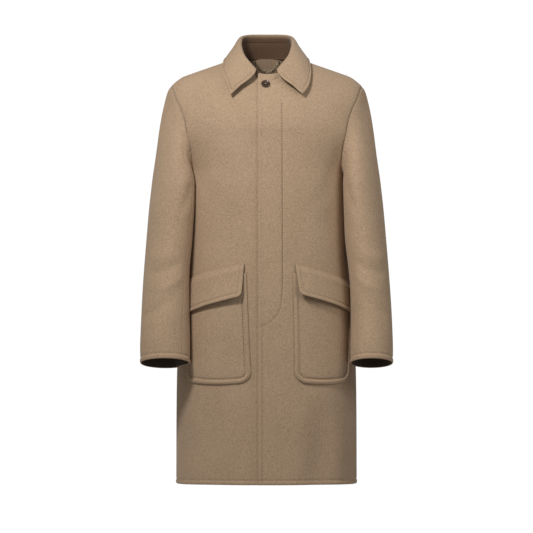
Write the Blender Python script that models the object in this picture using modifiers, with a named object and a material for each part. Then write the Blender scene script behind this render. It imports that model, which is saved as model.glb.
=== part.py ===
"""Tan wool car coat, filled out as if worn. Metres, +Z up.

The origin is the middle of the neck base, level with the inner ends of the shoulder seams.
The front faces -Y and the wearer's left is +X. The left front laps over the right one.
"""
import math

import bmesh
import bpy
import numpy as np
from mathutils import Matrix, Vector

# Cloth and seams
CLOTH = 0.0024
COLLAR_CLOTH = 0.0030
SEAM_GAP = 0.0003
EDGE_TRIM = 0.0002
CURVED_TRIM = 0.0006
PATCH_GAP = 0.0010

# Body of the coat
HEM_Z = -0.996
UNDERARM_Z = -0.272
CHEST_TOP_Z = -0.175
SHOULDER_RUN = 0.200
SHOULDER_TOP = CHEST_TOP_Z + SHOULDER_RUN
SHOULDER_SLOPE = 0.352
SHOULDER_TIP_X = 0.226
TIP_ROUND_X = 0.190
TIP_ROUND_DROP = 0.018
SIDE_SEAM_HEM = math.radians(72.0)
SIDE_SEAM_TOP = math.radians(86.0)

# How round the shoulder is between chest and shoulder seam: 1 is a straight slope, 2 is a round one
FRONT_BEND = 1.53
BACK_BEND = 2.60
TIP_BEND = 2.00

# Neck opening and front edges
NECK_HALF = 0.072
NECK_FRONT_DROP = 0.043
NECK_BACK_DROP = 0.002
LEFT_EDGE_X = 0.020
RIGHT_EDGE_X = 0.030
LAP_DEPTH = 0.0040
LAP_EASE = (0.022, 0.045)

# z, half width, front depth, back depth, squareness of the section
SECTIONS = (
    (HEM_Z, 0.2130, 0.172, 0.165, 2.30),
    (-0.740, 0.2110, 0.168, 0.157, 2.25),
    (-0.600, 0.2020, 0.165, 0.150, 2.20),
    (-0.430, 0.1920, 0.160, 0.143, 2.10),
    (-0.272, 0.1900, 0.154, 0.138, 2.05),
    (-0.235, 0.2020, 0.151, 0.135, 2.00),
    (-0.175, 0.2320, 0.145, 0.130, 2.00),
    (-0.100, 0.2320, 0.145, 0.130, 2.00),
)

# share of the way from shoulder tip to underarm, x on the front, x on the back, z
ARMHOLE = (
    (0.00, 0.2260, 0.2260, -0.0715),
    (0.13, 0.2140, 0.2160, -0.0940),
    (0.27, 0.2020, 0.2060, -0.1210),
    (0.43, 0.1905, 0.1960, -0.1560),
    (0.60, 0.1820, 0.1880, -0.1930),
    (0.76, 0.1745, 0.1800, -0.2310),
    (0.88, 0.1765, 0.1790, -0.2570),
    (1.00, 0.1890, 0.1890, UNDERARM_Z),
)

# z at the middle, edge by the body, outer edge, half depth, y of the middle, turn and tip in degrees
SLEEVE_LEFT = (
    (-0.300, 0.1785, 0.2692, 0.080, -0.040, 15.0, 0.0),
    (-0.350, 0.1800, 0.2745, 0.078, -0.046, 15.0, 1.0),
    (-0.430, 0.1835, 0.2810, 0.073, -0.056, 14.0, 4.0),
    (-0.527, 0.1940, 0.2880, 0.066, -0.073, 12.0, 8.0),
    (-0.602, 0.1960, 0.2920, 0.061, -0.088, 10.0, 10.0),
    (-0.675, 0.1950, 0.2936, 0.057, -0.104, 8.0, 12.5),
    (-0.7165, 0.1945, 0.2936, 0.055, -0.112, 6.0, 13.5),
)
SLEEVE_RIGHT = (
    (-0.300, 0.1690, 0.2700, 0.080, -0.042, 16.0, 0.0),
    (-0.350, 0.1710, 0.2752, 0.078, -0.050, 16.0, 1.0),
    (-0.430, 0.1760, 0.2815, 0.073, -0.062, 15.0, 4.0),
    (-0.527, 0.1790, 0.2880, 0.066, -0.082, 13.0, 8.0),
    (-0.602, 0.1785, 0.2912, 0.061, -0.098, 11.0, 10.0),
    (-0.675, 0.1775, 0.2930, 0.058, -0.113, 9.0, 12.5),
    (-0.7165, 0.1775, 0.2928, 0.057, -0.120, 8.0, 13.5),
)
SLEEVE_CLEAR_HIGH = 0.004
SLEEVE_CLEAR_LOW = 0.011
CLEAR_CHANGE_Z = (-0.430, -0.485)
CLEAR_BLEND = 0.006
UNDERARM_GAP = 0.0012
CAP_START_PULL = 0.55
CAP_END_PULL = 0.75
CAP_TOWARDS_RING = 0.2
BELOW_SEAM = 0.004

# neck angle in degrees, fold x, y, z, leaf edge x, z, how far the edge stands off, fold radius, leaf's bulge
COLLAR = (
    (19.5, 0.0260, -0.0850, -0.0310, 0.0820, -0.1000, 0.0130, 0.0024, 0.0040),
    (45.0, 0.0520, -0.0600, 0.0000, 0.0975, -0.0735, 0.0085, 0.0032, 0.0040),
    (70.0, 0.0615, -0.0270, 0.0260, 0.1030, -0.0390, 0.0055, 0.0038, 0.0020),
    (90.0, 0.0630, 0.0050, 0.0420, 0.0985, -0.0100, 0.0040, 0.0040, 0.0002),
    (118.0, 0.0585, 0.0400, 0.0530, 0.0880, -0.0150, 0.0045, 0.0042, 0.0002),
    (150.0, 0.0385, 0.0680, 0.0590, 0.0540, -0.0230, 0.0050, 0.0044, 0.0030),
    (180.0, 0.0000, 0.0780, 0.0600, 0.0000, -0.0250, 0.0050, 0.0044, 0.0040),
)
STAND_SHARE = 0.72
STAND_LIFT = 0.0010
LEAF_LIFT = 0.8
FOLD_DROP = 0.6
# Where neck, stand seam, inner fold, fold, outer fold, middle and edge lie along a section of the collar
COLLAR_KNOTS = (0.0, 0.22, 0.36, 0.43, 0.50, 0.75, 1.0)
# Lines of the grid along the collar; the stand ends and the fall begins at the line at the seam
COLLAR_LINES = (0.0, 0.11, 0.22, 0.30, 0.36, 0.43, 0.50, 0.61, 0.74, 0.87, 1.0)

# Corners of each pocket and flap: x from the centre line and z
POCKET_LEFT = {"inner_top": (0.061, -0.507), "outer_top": (0.193, -0.553),
               "inner_bottom": (0.066, -0.770), "outer_bottom": (0.1935, -0.770)}
POCKET_RIGHT = {"inner_top": (0.046, -0.507), "outer_top": (0.181, -0.543),
                "inner_bottom": (0.035, -0.770), "outer_bottom": (0.1860, -0.770)}
FLAP_LEFT = {"inner_top": (0.066, -0.486), "outer_top": (0.191, -0.532),
             "inner_bottom": (0.073, -0.556), "outer_bottom": (0.194, -0.604)}
FLAP_RIGHT = {"inner_top": (0.051, -0.484), "outer_top": (0.178, -0.520),
              "inner_bottom": (0.055, -0.560), "outer_bottom": (0.183, -0.604)}
POCKET_CORNER = 0.022
FLAP_CORNER = 0.009
FLAP_RISE = 0.22
# How far a flap's lower edge stands off the pocket at its inner and outer end
FLAP_FLARE = (0.0080, 0.0015)
NO_FLARE = (0.0, 0.0)

# Button on the left front
BUTTON_X = -0.002
BUTTON_Z = -0.0685
# radius and height of the turned button, from its thread shank up
BUTTON_PROFILE = ((0.0000, 0.0004), (0.0030, 0.0004), (0.0030, 0.0014), (0.0092, 0.0016),
                  (0.0100, 0.0024), (0.0100, 0.0040), (0.0090, 0.0048), (0.0068, 0.0040),
                  (0.0000, 0.0038))
MERGE_DISTANCE = 0.00001
BUTTON_STEPS = 20

# Hanger chain inside the back neck
CHAIN_HALF_SPAN = 0.028
CHAIN_SAG = 0.022
CHAIN_WIRE = 0.0012
CHAIN_PLAY = 0.00035
CHAIN_HALF_WIDTH = 0.0017
CHAIN_PLACES = 13
CHAIN_SHORT_LINKS = 10
LINK_TURNS = (-90.0, -45.0, 0.0, 45.0, 90.0)
RING_TURNS = (-90.0, -60.0, -30.0, 0.0, 30.0, 60.0)
RING_RADIUS = 0.0029
RING_DROP = 0.0045
RING_OVERHANG = 0.004
RING_CLEAR = 0.0016

# Grid steps
ROWS_LOW = 12
ROWS_ARM = 10
COLUMNS_NECK = 7
COLUMNS_SHOULDER = 6
CAP_STEPS = 5
SLEEVE_STEPS = 9
SLEEVE_FRONT_SEAM = 7
SLEEVE_BACK_SEAM = 7
COLLAR_STEPS = 13
STAND_STEPS = 2
PATCH_ROWS = 8
PATCH_COLUMNS = 10
FLAP_ROWS = 5
CHAIN_PATH_STEPS = 200
TOP_FADE = 3
SHARP_ANGLE = math.radians(40.0)

# Colour, roughness and metallic value of each finish
WOOL = ((0.47, 0.31, 0.17, 1.0), 0.95, 0.0)
HORN = ((0.055, 0.030, 0.018, 1.0), 0.35, 0.0)
STEEL = ((0.40, 0.37, 0.33, 1.0), 0.35, 1.0)


def clear_scene():
    for old in list(bpy.data.objects):
        bpy.data.objects.remove(old, do_unlink=True)


def unit(vectors):
    """The same directions, one long."""
    return vectors / np.linalg.norm(vectors, axis=-1, keepdims=True)


def ease(share):
    """Smooth step from 0 to 1."""
    share = np.clip(share, 0.0, 1.0)
    return share * share * (3.0 - 2.0 * share)


def smooth(keys, values, at):
    """Monotone cubic curve through (key, value) pairs, with no overshoot between them."""
    keys = np.asarray(keys, float)
    values = np.asarray(values, float)
    step = np.diff(keys)
    slope = np.diff(values) / step
    tangent = np.concatenate((slope[:1], 0.5 * (slope[1:] + slope[:-1]), slope[-1:]))
    rising = slope[1:] * slope[:-1] > 0.0
    limit = 3.0 * np.minimum(np.abs(slope[1:]), np.abs(slope[:-1]))
    inner = np.clip(tangent[1:-1], -limit, limit)
    tangent[1:-1] = np.where(rising, inner, 0.0)
    at = np.clip(at, keys[0], keys[-1])
    index = np.clip(np.searchsorted(keys, at, side="right") - 1, 0, len(step) - 1)
    share = (at - keys[index]) / step[index]
    start = (1.0 + 2.0 * share) * (1.0 - share) ** 2 * values[index]
    start_slope = share * (1.0 - share) ** 2 * step[index] * tangent[index]
    end = share ** 2 * (3.0 - 2.0 * share) * values[index + 1]
    end_slope = share ** 2 * (share - 1.0) * step[index] * tangent[index + 1]
    return start + start_slope + end + end_slope


def table_column(table, column, at):
    """A table's column at given values of its first column, which runs up or down."""
    rows = sorted(table)
    return smooth([row[0] for row in rows], [row[column] for row in rows], at)


def ridge(x):
    """Height of the shoulder seam at x: a slope, rounded down at the tip and levelled across the neck."""
    x = np.abs(x)
    slope = -SHOULDER_SLOPE * (x - NECK_HALF)
    past = np.maximum(x - TIP_ROUND_X, 0.0) / (SHOULDER_TIP_X - TIP_ROUND_X)
    neck = 0.5 * SHOULDER_SLOPE * NECK_HALF * (1.0 - (x / NECK_HALF) ** 2)
    return np.where(x < NECK_HALF, neck, slope - TIP_ROUND_DROP * past ** 2)


def bend_at(x, front):
    """Roundness of the slope between chest and shoulder seam, from the neck out to the tip."""
    out = np.minimum(np.abs(x) / SHOULDER_TIP_X, 1.0) ** 2
    middle = np.where(front, FRONT_BEND, BACK_BEND)
    return middle + (TIP_BEND - middle) * out


def form(angle, height):
    """Outer face of the coat's body.

    angle runs from the centre front (0) round the wearer's left side to the centre back (pi). height is z
    up to CHEST_TOP_Z, and then the way up the shoulder slope, which ends at SHOULDER_TOP on the seam.
    """
    angle, height = np.broadcast_arrays(np.asarray(angle, float), np.asarray(height, float))
    low = np.minimum(height, CHEST_TOP_Z)
    power = 2.0 / table_column(SECTIONS, 4, low)
    sine, cosine = np.sin(angle), np.cos(angle)
    x = table_column(SECTIONS, 1, low) * np.sign(sine) * np.abs(sine) ** power
    depth = np.where(cosine > 0.0, table_column(SECTIONS, 2, low), table_column(SECTIONS, 3, low))
    y = -np.sign(cosine) * depth * np.abs(cosine) ** power
    rise = 0.5 * math.pi * np.clip((height - CHEST_TOP_Z) / SHOULDER_RUN, 0.0, 1.0)
    bend = bend_at(x, cosine > 0.0)
    climb = (ridge(x) - CHEST_TOP_Z) * np.sin(rise) ** (2.0 / bend)
    y = y * np.maximum(np.cos(rise), 0.0) ** (2.0 / bend)
    return np.stack((x, y, low + climb), axis=-1)


def form_normal(angle, height):
    """Outward direction of the body's outer face."""
    step = 1.0e-4
    height = np.minimum(height, SHOULDER_TOP - 2.0 * step)
    across = form(angle + step, height) - form(angle - step, height)
    upward = form(angle, height + step) - form(angle, height - step)
    return unit(np.cross(across, upward))


def place(x, z, front=True):
    """Angle and height on the form of the point seen at x and z from the front or the back."""
    x, z = np.broadcast_arrays(np.asarray(x, float), np.asarray(z, float))
    low = np.minimum(z, CHEST_TOP_Z)
    share = np.clip(np.abs(x) / table_column(SECTIONS, 1, low), 0.0, 1.0)
    turn = np.sign(x) * np.arcsin(share ** (0.5 * table_column(SECTIONS, 4, low)))
    angle = turn if front else math.pi - turn
    up = np.clip((z - CHEST_TOP_Z) / (ridge(x) - CHEST_TOP_Z), 0.0, 1.0)
    rise = np.arcsin(up ** (0.5 * bend_at(x, front)))
    return angle, low + SHOULDER_RUN * rise / (0.5 * math.pi)


def side_seam(z):
    """Angle of the side seam, which moves forward towards the hem."""
    share = (z - HEM_Z) / (UNDERARM_Z - HEM_Z)
    return SIDE_SEAM_HEM + (SIDE_SEAM_TOP - SIDE_SEAM_HEM) * share


def armhole(front):
    """Angle and height along half an armhole, from the underarm up to the shoulder tip."""
    share = np.array([row[0] for row in ARMHOLE])
    x = np.array([row[1 if front else 2] for row in ARMHOLE])
    angle, height = place(x, np.array([row[3] for row in ARMHOLE]), front)
    angle[-1], height[-1] = SIDE_SEAM_TOP, UNDERARM_Z
    height[0] = SHOULDER_TOP
    at = np.linspace(1.0, 0.0, ROWS_ARM + 1)
    return smooth(share, angle, at), smooth(share, height, at)


def neck_line(degrees):
    """x and z of the neck seam; 0 is the centre front, 90 the shoulder seam and 180 the centre back."""
    turn = np.radians(degrees)
    drop = np.where(turn < 0.5 * math.pi, NECK_FRONT_DROP, NECK_BACK_DROP)
    return NECK_HALF * np.sin(turn), -drop * np.abs(np.cos(turn))


def half_panel(front, edge_x):
    """Angles and heights over half the body, from edge_x past the centre line out to side seam and armhole.

    The edges are drawn first, and each row of the grid runs straight between them, with the top edge's shape
    added near it and fading fast below, so that the rows below the arm stay level.
    """
    rows = ROWS_LOW + ROWS_ARM
    columns = COLUMNS_NECK + COLUMNS_SHOULDER
    across = np.linspace(0.0, 1.0, columns + 1)
    up = np.linspace(0.0, 1.0, rows + 1)
    low_z = np.linspace(HEM_Z, UNDERARM_Z, ROWS_LOW + 1)
    arm_angle, arm_height = armhole(front)
    outer = np.stack((np.concatenate((side_seam(low_z), arm_angle[1:])),
                      np.concatenate((low_z, arm_height[1:]))), axis=-1)
    start = math.degrees(math.asin(-edge_x / NECK_HALF))
    degrees = np.linspace(start if front else 180.0, 90.0, COLUMNS_NECK + 1)
    neck_x, neck_z = neck_line(degrees)
    seam_x = np.linspace(NECK_HALF, SHOULDER_TIP_X, COLUMNS_SHOULDER + 1)[1:]
    top_x = np.concatenate((neck_x, seam_x))
    top_z = np.concatenate((neck_z, ridge(seam_x)))
    top = np.stack(place(top_x, top_z, front), axis=-1)
    top[-1] = outer[-1]
    middle_z = np.concatenate((low_z, np.linspace(UNDERARM_Z, top_z[0], ROWS_ARM + 1)[1:]))
    middle = np.stack(place(np.full(rows + 1, -edge_x), middle_z, front), axis=-1)
    top_bow = top - (top[0] + (top[-1] - top[0]) * across[:, None])
    fade = (up ** TOP_FADE)[:, None, None]
    straight = middle[:, None] + (outer - middle)[:, None] * across[None, :, None]
    grid = straight + fade * top_bow[None]
    return grid[..., 0], grid[..., 1]


def lap_push(side, x):
    """How far the right front lies inside the form, to pass under the left one."""
    if side > 0:
        return np.zeros_like(x)
    start, end = LAP_EASE
    return LAP_DEPTH * (1.0 - ease((x - start) / (end - start)))


def mirrored(points, side):
    """Points made for the wearer's left, on the given side."""
    return points * np.array((side, 1.0, 1.0))


def trimmed(points, edges, trim=EDGE_TRIM):
    """Grid points with the named edges moved back along the grid, to leave a seam's gap."""
    points = points.copy()
    if "top" in edges:
        points[-1] += trim * unit(points[-2] - points[-1])
    if "bottom" in edges:
        points[0] += trim * unit(points[1] - points[0])
    if "start" in edges:
        points[:, 0] += trim * unit(points[:, 1] - points[:, 0])
    if "end" in edges:
        points[:, -1] += trim * unit(points[:, -2] - points[:, -1])
    return points


def grid_normals(points):
    """Directions square to a grid of points, on the side where rows and columns turn anticlockwise."""
    return unit(np.cross(np.gradient(points, axis=1), np.gradient(points, axis=0)))


def finish_material(name, finish):
    colour, roughness, metallic = finish
    material = bpy.data.materials.new(name)
    material.use_nodes = True
    shader = material.node_tree.nodes["Principled BSDF"]
    shader.inputs["Base Color"].default_value = colour
    shader.inputs["Roughness"].default_value = roughness
    shader.inputs["Metallic"].default_value = metallic
    return material


def add_object(collection, name, data, finish):
    part = bpy.data.objects.new(name, data)
    data.materials.append(finish_material(name + "_finish", finish))
    collection.objects.link(part)
    return part


def add_wall(collection, name, outer, inner, finish=WOOL):
    """One closed wall between two grids of points with the same rows and columns."""
    rows, columns = outer.shape[:2]
    count = rows * columns
    number = np.arange(count).reshape(rows, columns)
    corners = (number[:-1, :-1], number[:-1, 1:], number[1:, 1:], number[1:, :-1])
    quads = np.stack(corners, axis=-1).reshape(-1, 4)
    rim = np.concatenate((number[0, :-1], number[:-1, -1], number[-1, :0:-1], number[:0:-1, 0]))
    after = np.roll(rim, -1)
    sides = np.stack((rim, rim + count, after + count, after), axis=-1)
    faces = np.concatenate((quads, quads[:, ::-1] + count, sides))
    mesh = bpy.data.meshes.new(name)
    points = np.concatenate((outer.reshape(-1, 3), inner.reshape(-1, 3)))
    mesh.from_pydata(points.tolist(), [], faces.tolist())
    shape = bmesh.new()
    shape.from_mesh(mesh)
    bmesh.ops.recalc_face_normals(shape, faces=shape.faces)
    shape.to_mesh(mesh)
    shape.free()
    mesh.shade_smooth()
    mesh.set_sharp_from_angle(angle=SHARP_ANGLE)
    return add_object(collection, name, mesh, finish)


def add_front(collection, name, side, edge_x):
    angle, height = half_panel(True, edge_x)
    face = form(angle, height)
    normal = form_normal(angle, height)
    face = face - normal * lap_push(side, face[..., 0])[..., None]
    face = trimmed(face, ("top", "end"))
    add_wall(collection, name, mirrored(face, side), mirrored(face - CLOTH * normal, side))


def add_back(collection, name, side):
    """Half of the back, with a seam at the centre."""
    angle, height = half_panel(False, 0.0)
    face = trimmed(form(angle, height), ("top", "start", "end"))
    inside = face - CLOTH * form_normal(angle, height)
    add_wall(collection, name, mirrored(face, side), mirrored(inside, side))


def sleeve_ring(table, z):
    """Ring of the sleeve at height z: an oval, turned about its own axis and tipped forward."""
    inner, outer, half_depth, middle_y, turn, tip = (table_column(table, column, z) for column in range(1, 7))
    turn = math.radians(turn)
    half_x = 0.5 * (outer - inner)
    half_width = math.sqrt(half_x ** 2 - (half_depth * math.sin(turn)) ** 2) / math.cos(turn)
    round_angle = np.linspace(0.0, 2.0 * math.pi, 2 * ROWS_ARM, endpoint=False)
    wide = half_width * np.cos(round_angle)
    deep = half_depth * np.sin(round_angle)
    x = 0.5 * (outer + inner) + wide * math.cos(turn) - deep * math.sin(turn)
    forward = wide * math.sin(turn) + deep * math.cos(turn)
    return np.stack((x, middle_y - forward, z + forward * math.tan(math.radians(tip))), axis=-1)


def clear_of_body(points):
    """Sleeve points moved out sideways to lie clear of the body, by more beside pocket and flap."""
    x, y, z = points[..., 0], points[..., 1], points[..., 2]
    depth = np.where(y < 0.0, table_column(SECTIONS, 2, z), table_column(SECTIONS, 3, z))
    power = table_column(SECTIONS, 4, z)
    within = np.clip(1.0 - np.abs(y / depth) ** power, 0.0, 1.0)
    high_z, low_z = CLEAR_CHANGE_Z
    clear = SLEEVE_CLEAR_HIGH + (SLEEVE_CLEAR_LOW - SLEEVE_CLEAR_HIGH) * ease((z - high_z) / (low_z - high_z))
    wall = table_column(SECTIONS, 1, z) * within ** (1.0 / power) + clear
    near = np.clip(0.5 + 0.5 * (wall - x) / CLEAR_BLEND, 0.0, 1.0)
    pushed = x + (wall - x) * near + CLEAR_BLEND * near * (1.0 - near)
    x = np.where(z < UNDERARM_Z - BELOW_SEAM, pushed, x)
    return np.stack((x, y, z), axis=-1)


def sleeve_grid(table):
    """Outer face and outward directions of a whole sleeve; rows run down from the armhole, columns round it.

    The cap leaves the armhole along the body's own slope at the shoulder, and straight out at the underarm,
    and swings into the first full ring on cubic curves.
    """
    front_angle, front_height = armhole(True)
    back_angle, back_height = armhole(False)
    angle = np.concatenate((front_angle[:0:-1], back_angle[:-1]))
    height = np.concatenate((front_height[:0:-1], back_height[:-1]))
    seam = form(angle, height)
    along = unit(np.roll(seam, -1, axis=0) - np.roll(seam, 1, axis=0))
    leave = unit(np.cross(form_normal(angle, height), along))
    leave = np.where(leave[:, :1] < 0.0, -leave, leave)
    ring_z = np.linspace(table[0][0], table[-1][0], SLEEVE_STEPS + 1)
    rings = np.stack([sleeve_ring(table, z) for z in ring_z])
    round_angle = np.linspace(0.0, 2.0 * math.pi, 2 * ROWS_ARM, endpoint=False)
    top_share = (0.5 + 0.5 * np.cos(round_angle))[:, None]
    towards = unit(rings[0] - seam)
    outward = np.array((1.0, 0.0, 0.0))
    leave = unit(leave * top_share + (1.0 - top_share) * (CAP_TOWARDS_RING * towards + outward))
    leave = unit(leave - along * np.sum(leave * along, axis=1, keepdims=True))
    seam = seam + (SEAM_GAP + UNDERARM_GAP * (1.0 - top_share)) * leave
    reach = np.linalg.norm(rings[0] - seam, axis=1, keepdims=True)
    start_pull = CAP_START_PULL * reach * leave
    end_pull = CAP_END_PULL * reach * unit(rings[1] - rings[0])
    share = np.linspace(0.0, 1.0, CAP_STEPS + 1)[:-1, None, None]
    cap = ((1.0 + 2.0 * share) * (1.0 - share) ** 2 * seam + share * (1.0 - share) ** 2 * start_pull
           + share ** 2 * (3.0 - 2.0 * share) * rings[0] + share ** 2 * (share - 1.0) * end_pull)
    face = np.concatenate((cap, rings))
    face[1:] = clear_of_body(face[1:])
    wrapped = np.concatenate((face[:, -1:], face, face[:, :1]), axis=1)
    normal = -grid_normals(wrapped)[:, 1:-1]
    normal[0] = unit(np.cross(leave, along))
    middle = face.mean(axis=1, keepdims=True)
    normal = normal * np.sign(np.sum(normal[-1] * (face - middle)[-1]))
    return face, normal


def add_sleeve(collection, word, side, table):
    face, normal = sleeve_grid(table)
    count = 2 * ROWS_ARM
    pieces = {"upper": np.arange(-SLEEVE_BACK_SEAM, SLEEVE_FRONT_SEAM + 1) % count,
              "under": np.arange(SLEEVE_FRONT_SEAM, count - SLEEVE_BACK_SEAM + 1)}
    for piece, columns in pieces.items():
        outer = trimmed(face[:, columns], ("start", "end"), CURVED_TRIM)
        inner = outer - CLOTH * normal[:, columns]
        add_wall(collection, "sleeve_%s_%s" % (piece, word), mirrored(outer, side), mirrored(inner, side))


def collar_sections():
    """Neck, fold and leaf edge points of the half collar, a row for each section from front to back."""
    degrees = np.linspace(COLLAR[0][0], COLLAR[-1][0], COLLAR_STEPS)
    fold = np.stack([table_column(COLLAR, column, degrees) for column in (1, 2, 3)], axis=-1)
    edge_x, edge_z, stand_off = (table_column(COLLAR, column, degrees) for column in (4, 5, 6))
    radius, bulge = (table_column(COLLAR, column, degrees)[:, None] for column in (7, 8))
    neck_x, neck_z = neck_line(degrees)
    front = degrees < 90.0
    neck = np.empty_like(fold)
    edge = np.empty_like(fold)
    for facing, rows in ((True, front), (False, ~front)):
        neck[rows] = form(*place(neck_x[rows], neck_z[rows], facing))
        spot = place(edge_x[rows], edge_z[rows], facing)
        edge[rows] = form(*spot) + stand_off[rows, None] * form_normal(*spot)
    return neck, fold, edge, radius, bulge


def whole_collar(half):
    """Both halves of a collar piece, with its columns running from right front round to left front."""
    half = half.copy()
    half[-1, :, 0] = 0.0
    return np.concatenate((mirrored(half, -1.0), half[-2::-1])).transpose(1, 0, 2)


def add_collar(collection):
    neck, fold, edge, radius, bulge = collar_sections()
    flat = (edge - fold) * np.array((1.0, 1.0, 0.0))
    outward = unit(flat)
    up = np.array((0.0, 0.0, 1.0))
    inner_fold = fold - radius * outward - FOLD_DROP * radius * up
    outer_fold = fold + radius * outward - FOLD_DROP * radius * up
    wall = 0.5 * COLLAR_CLOTH
    foot = neck - wall * outward
    seam = foot + STAND_SHARE * (inner_fold - foot)
    base = foot + STAND_LIFT * unit(seam - foot)
    middle = 0.5 * (outer_fold + edge) + bulge * unit(outward + LEAF_LIFT * up)
    knots = np.stack((base, seam, inner_fold, fold, outer_fold, middle, edge), axis=1)
    lines = np.array(COLLAR_LINES)
    runs = [[smooth(COLLAR_KNOTS, row[:, axis], lines) for axis in range(3)] for row in knots]
    face = whole_collar(np.array(runs).transpose(0, 2, 1))
    normal = grid_normals(face)
    for name, rows, edges in (("collar_stand", slice(0, STAND_STEPS + 1), ("top",)),
                              ("collar_fall", slice(STAND_STEPS, None), ("bottom",))):
        points = trimmed(face[rows], edges, CURVED_TRIM)
        add_wall(collection, name, points + wall * normal[rows], points - wall * normal[rows])


def patch_spots(corners, corner_radius, rows, columns):
    """Angles, heights and shares over a pocket or flap with round lower corners, rows from the top down."""
    spot = {name: np.array(place(*corner)) for name, corner in corners.items()}
    down = np.sin(np.linspace(0.0, 0.5 * math.pi, rows + 1))[:, None]
    drop = corners["inner_top"][1] - corners["inner_bottom"][1]
    ends = form(*spot["outer_bottom"]) - form(*spot["inner_bottom"])
    short = np.maximum(corner_radius - (1.0 - down) * drop, 0.0)
    inset = (corner_radius - np.sqrt(corner_radius ** 2 - short ** 2)) / np.linalg.norm(ends)
    across = inset + np.linspace(0.0, 1.0, columns + 1)[None] * (1.0 - 2.0 * inset)
    spots = []
    for part in range(2):
        top = spot["inner_top"][part] + (spot["outer_top"][part] - spot["inner_top"][part]) * across
        low = spot["inner_bottom"][part] + (spot["outer_bottom"][part] - spot["inner_bottom"][part]) * across
        spots.append(top + (low - top) * down)
    return spots[0], spots[1], across, down


def add_patch(collection, name, side, corners, corner_radius, rows, lift_low, flare):
    """A pocket or flap made from the front's own points, moved out; it rises below its top edge."""
    angle, height, across, down = patch_spots(corners, corner_radius, rows, PATCH_COLUMNS)
    face = form(angle, height)
    normal = form_normal(angle, height)
    lift = PATCH_GAP + (lift_low - PATCH_GAP) * ease(down / FLAP_RISE) - lap_push(side, face[..., 0])
    lift = lift + (flare[0] + (flare[1] - flare[0]) * across) * down ** 2
    inner = face + normal * lift[..., None]
    add_wall(collection, name, mirrored(inner + CLOTH * normal, side), mirrored(inner, side))


def add_button(collection):
    """Turned button on its thread shank, square to the cloth of the left front."""
    spot = place(BUTTON_X, BUTTON_Z)
    direction = Vector(form_normal(*spot))
    mesh = bpy.data.meshes.new("button")
    points = [(radius, 0.0, height) for radius, height in reversed(BUTTON_PROFILE)]
    mesh.from_pydata(points, [(i, i + 1) for i in range(len(points) - 1)], [])
    button = add_object(collection, "button", mesh, HORN)
    button.location = Vector(form(*spot))
    button.rotation_euler = direction.to_track_quat("Z", "Y").to_euler()
    turning = button.modifiers.new("turning", "SCREW")
    turning.steps = BUTTON_STEPS
    turning.render_steps = BUTTON_STEPS
    turning.use_merge_vertices = True
    turning.merge_threshold = MERGE_DISTANCE


def wire_loop(collection, name, half_length, half_width):
    """Closed oval of round wire in its own XY plane, long along X."""
    curve = bpy.data.curves.new(name, "CURVE")
    curve.dimensions = "3D"
    curve.bevel_depth = 0.5 * CHAIN_WIRE
    curve.bevel_resolution = 1
    spline = curve.splines.new("POLY")
    straight = half_length - half_width
    turns = np.radians(LINK_TURNS if straight > 0.0 else RING_TURNS)
    points = [(way * (straight + half_width * math.cos(turn)), way * half_width * math.sin(turn), 0.0, 1.0)
              for way in (1.0, -1.0) for turn in turns]
    spline.points.add(len(points) - 1)
    for knot, point in zip(spline.points, points):
        knot.co = point
    spline.use_cyclic_u = True
    return add_object(collection, name, curve, STEEL)


def chain_path(anchor):
    """Points of the hanging chain and the distance along it, from the right ring's wire to the left one's."""
    x = np.linspace(-CHAIN_HALF_SPAN, CHAIN_HALF_SPAN, CHAIN_PATH_STEPS + 1)
    z = anchor[2] - RING_RADIUS - CHAIN_SAG * (1.0 - (x / CHAIN_HALF_SPAN) ** 2)
    points = np.stack((x, np.full_like(x, anchor[1]), z), axis=-1)
    steps = np.linalg.norm(np.diff(points, axis=0), axis=1)
    return points, np.concatenate(((0.0,), np.cumsum(steps)))


def path_point(points, distance, at):
    """Point at a distance along a path, which runs on straight past its ends."""
    if at < 0.0:
        return points[0] + at * unit(points[1] - points[0])
    if at > distance[-1]:
        return points[-1] + (at - distance[-1]) * unit(points[-1] - points[-2])
    return np.array([np.interp(at, distance, points[:, axis]) for axis in range(3)])


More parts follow.
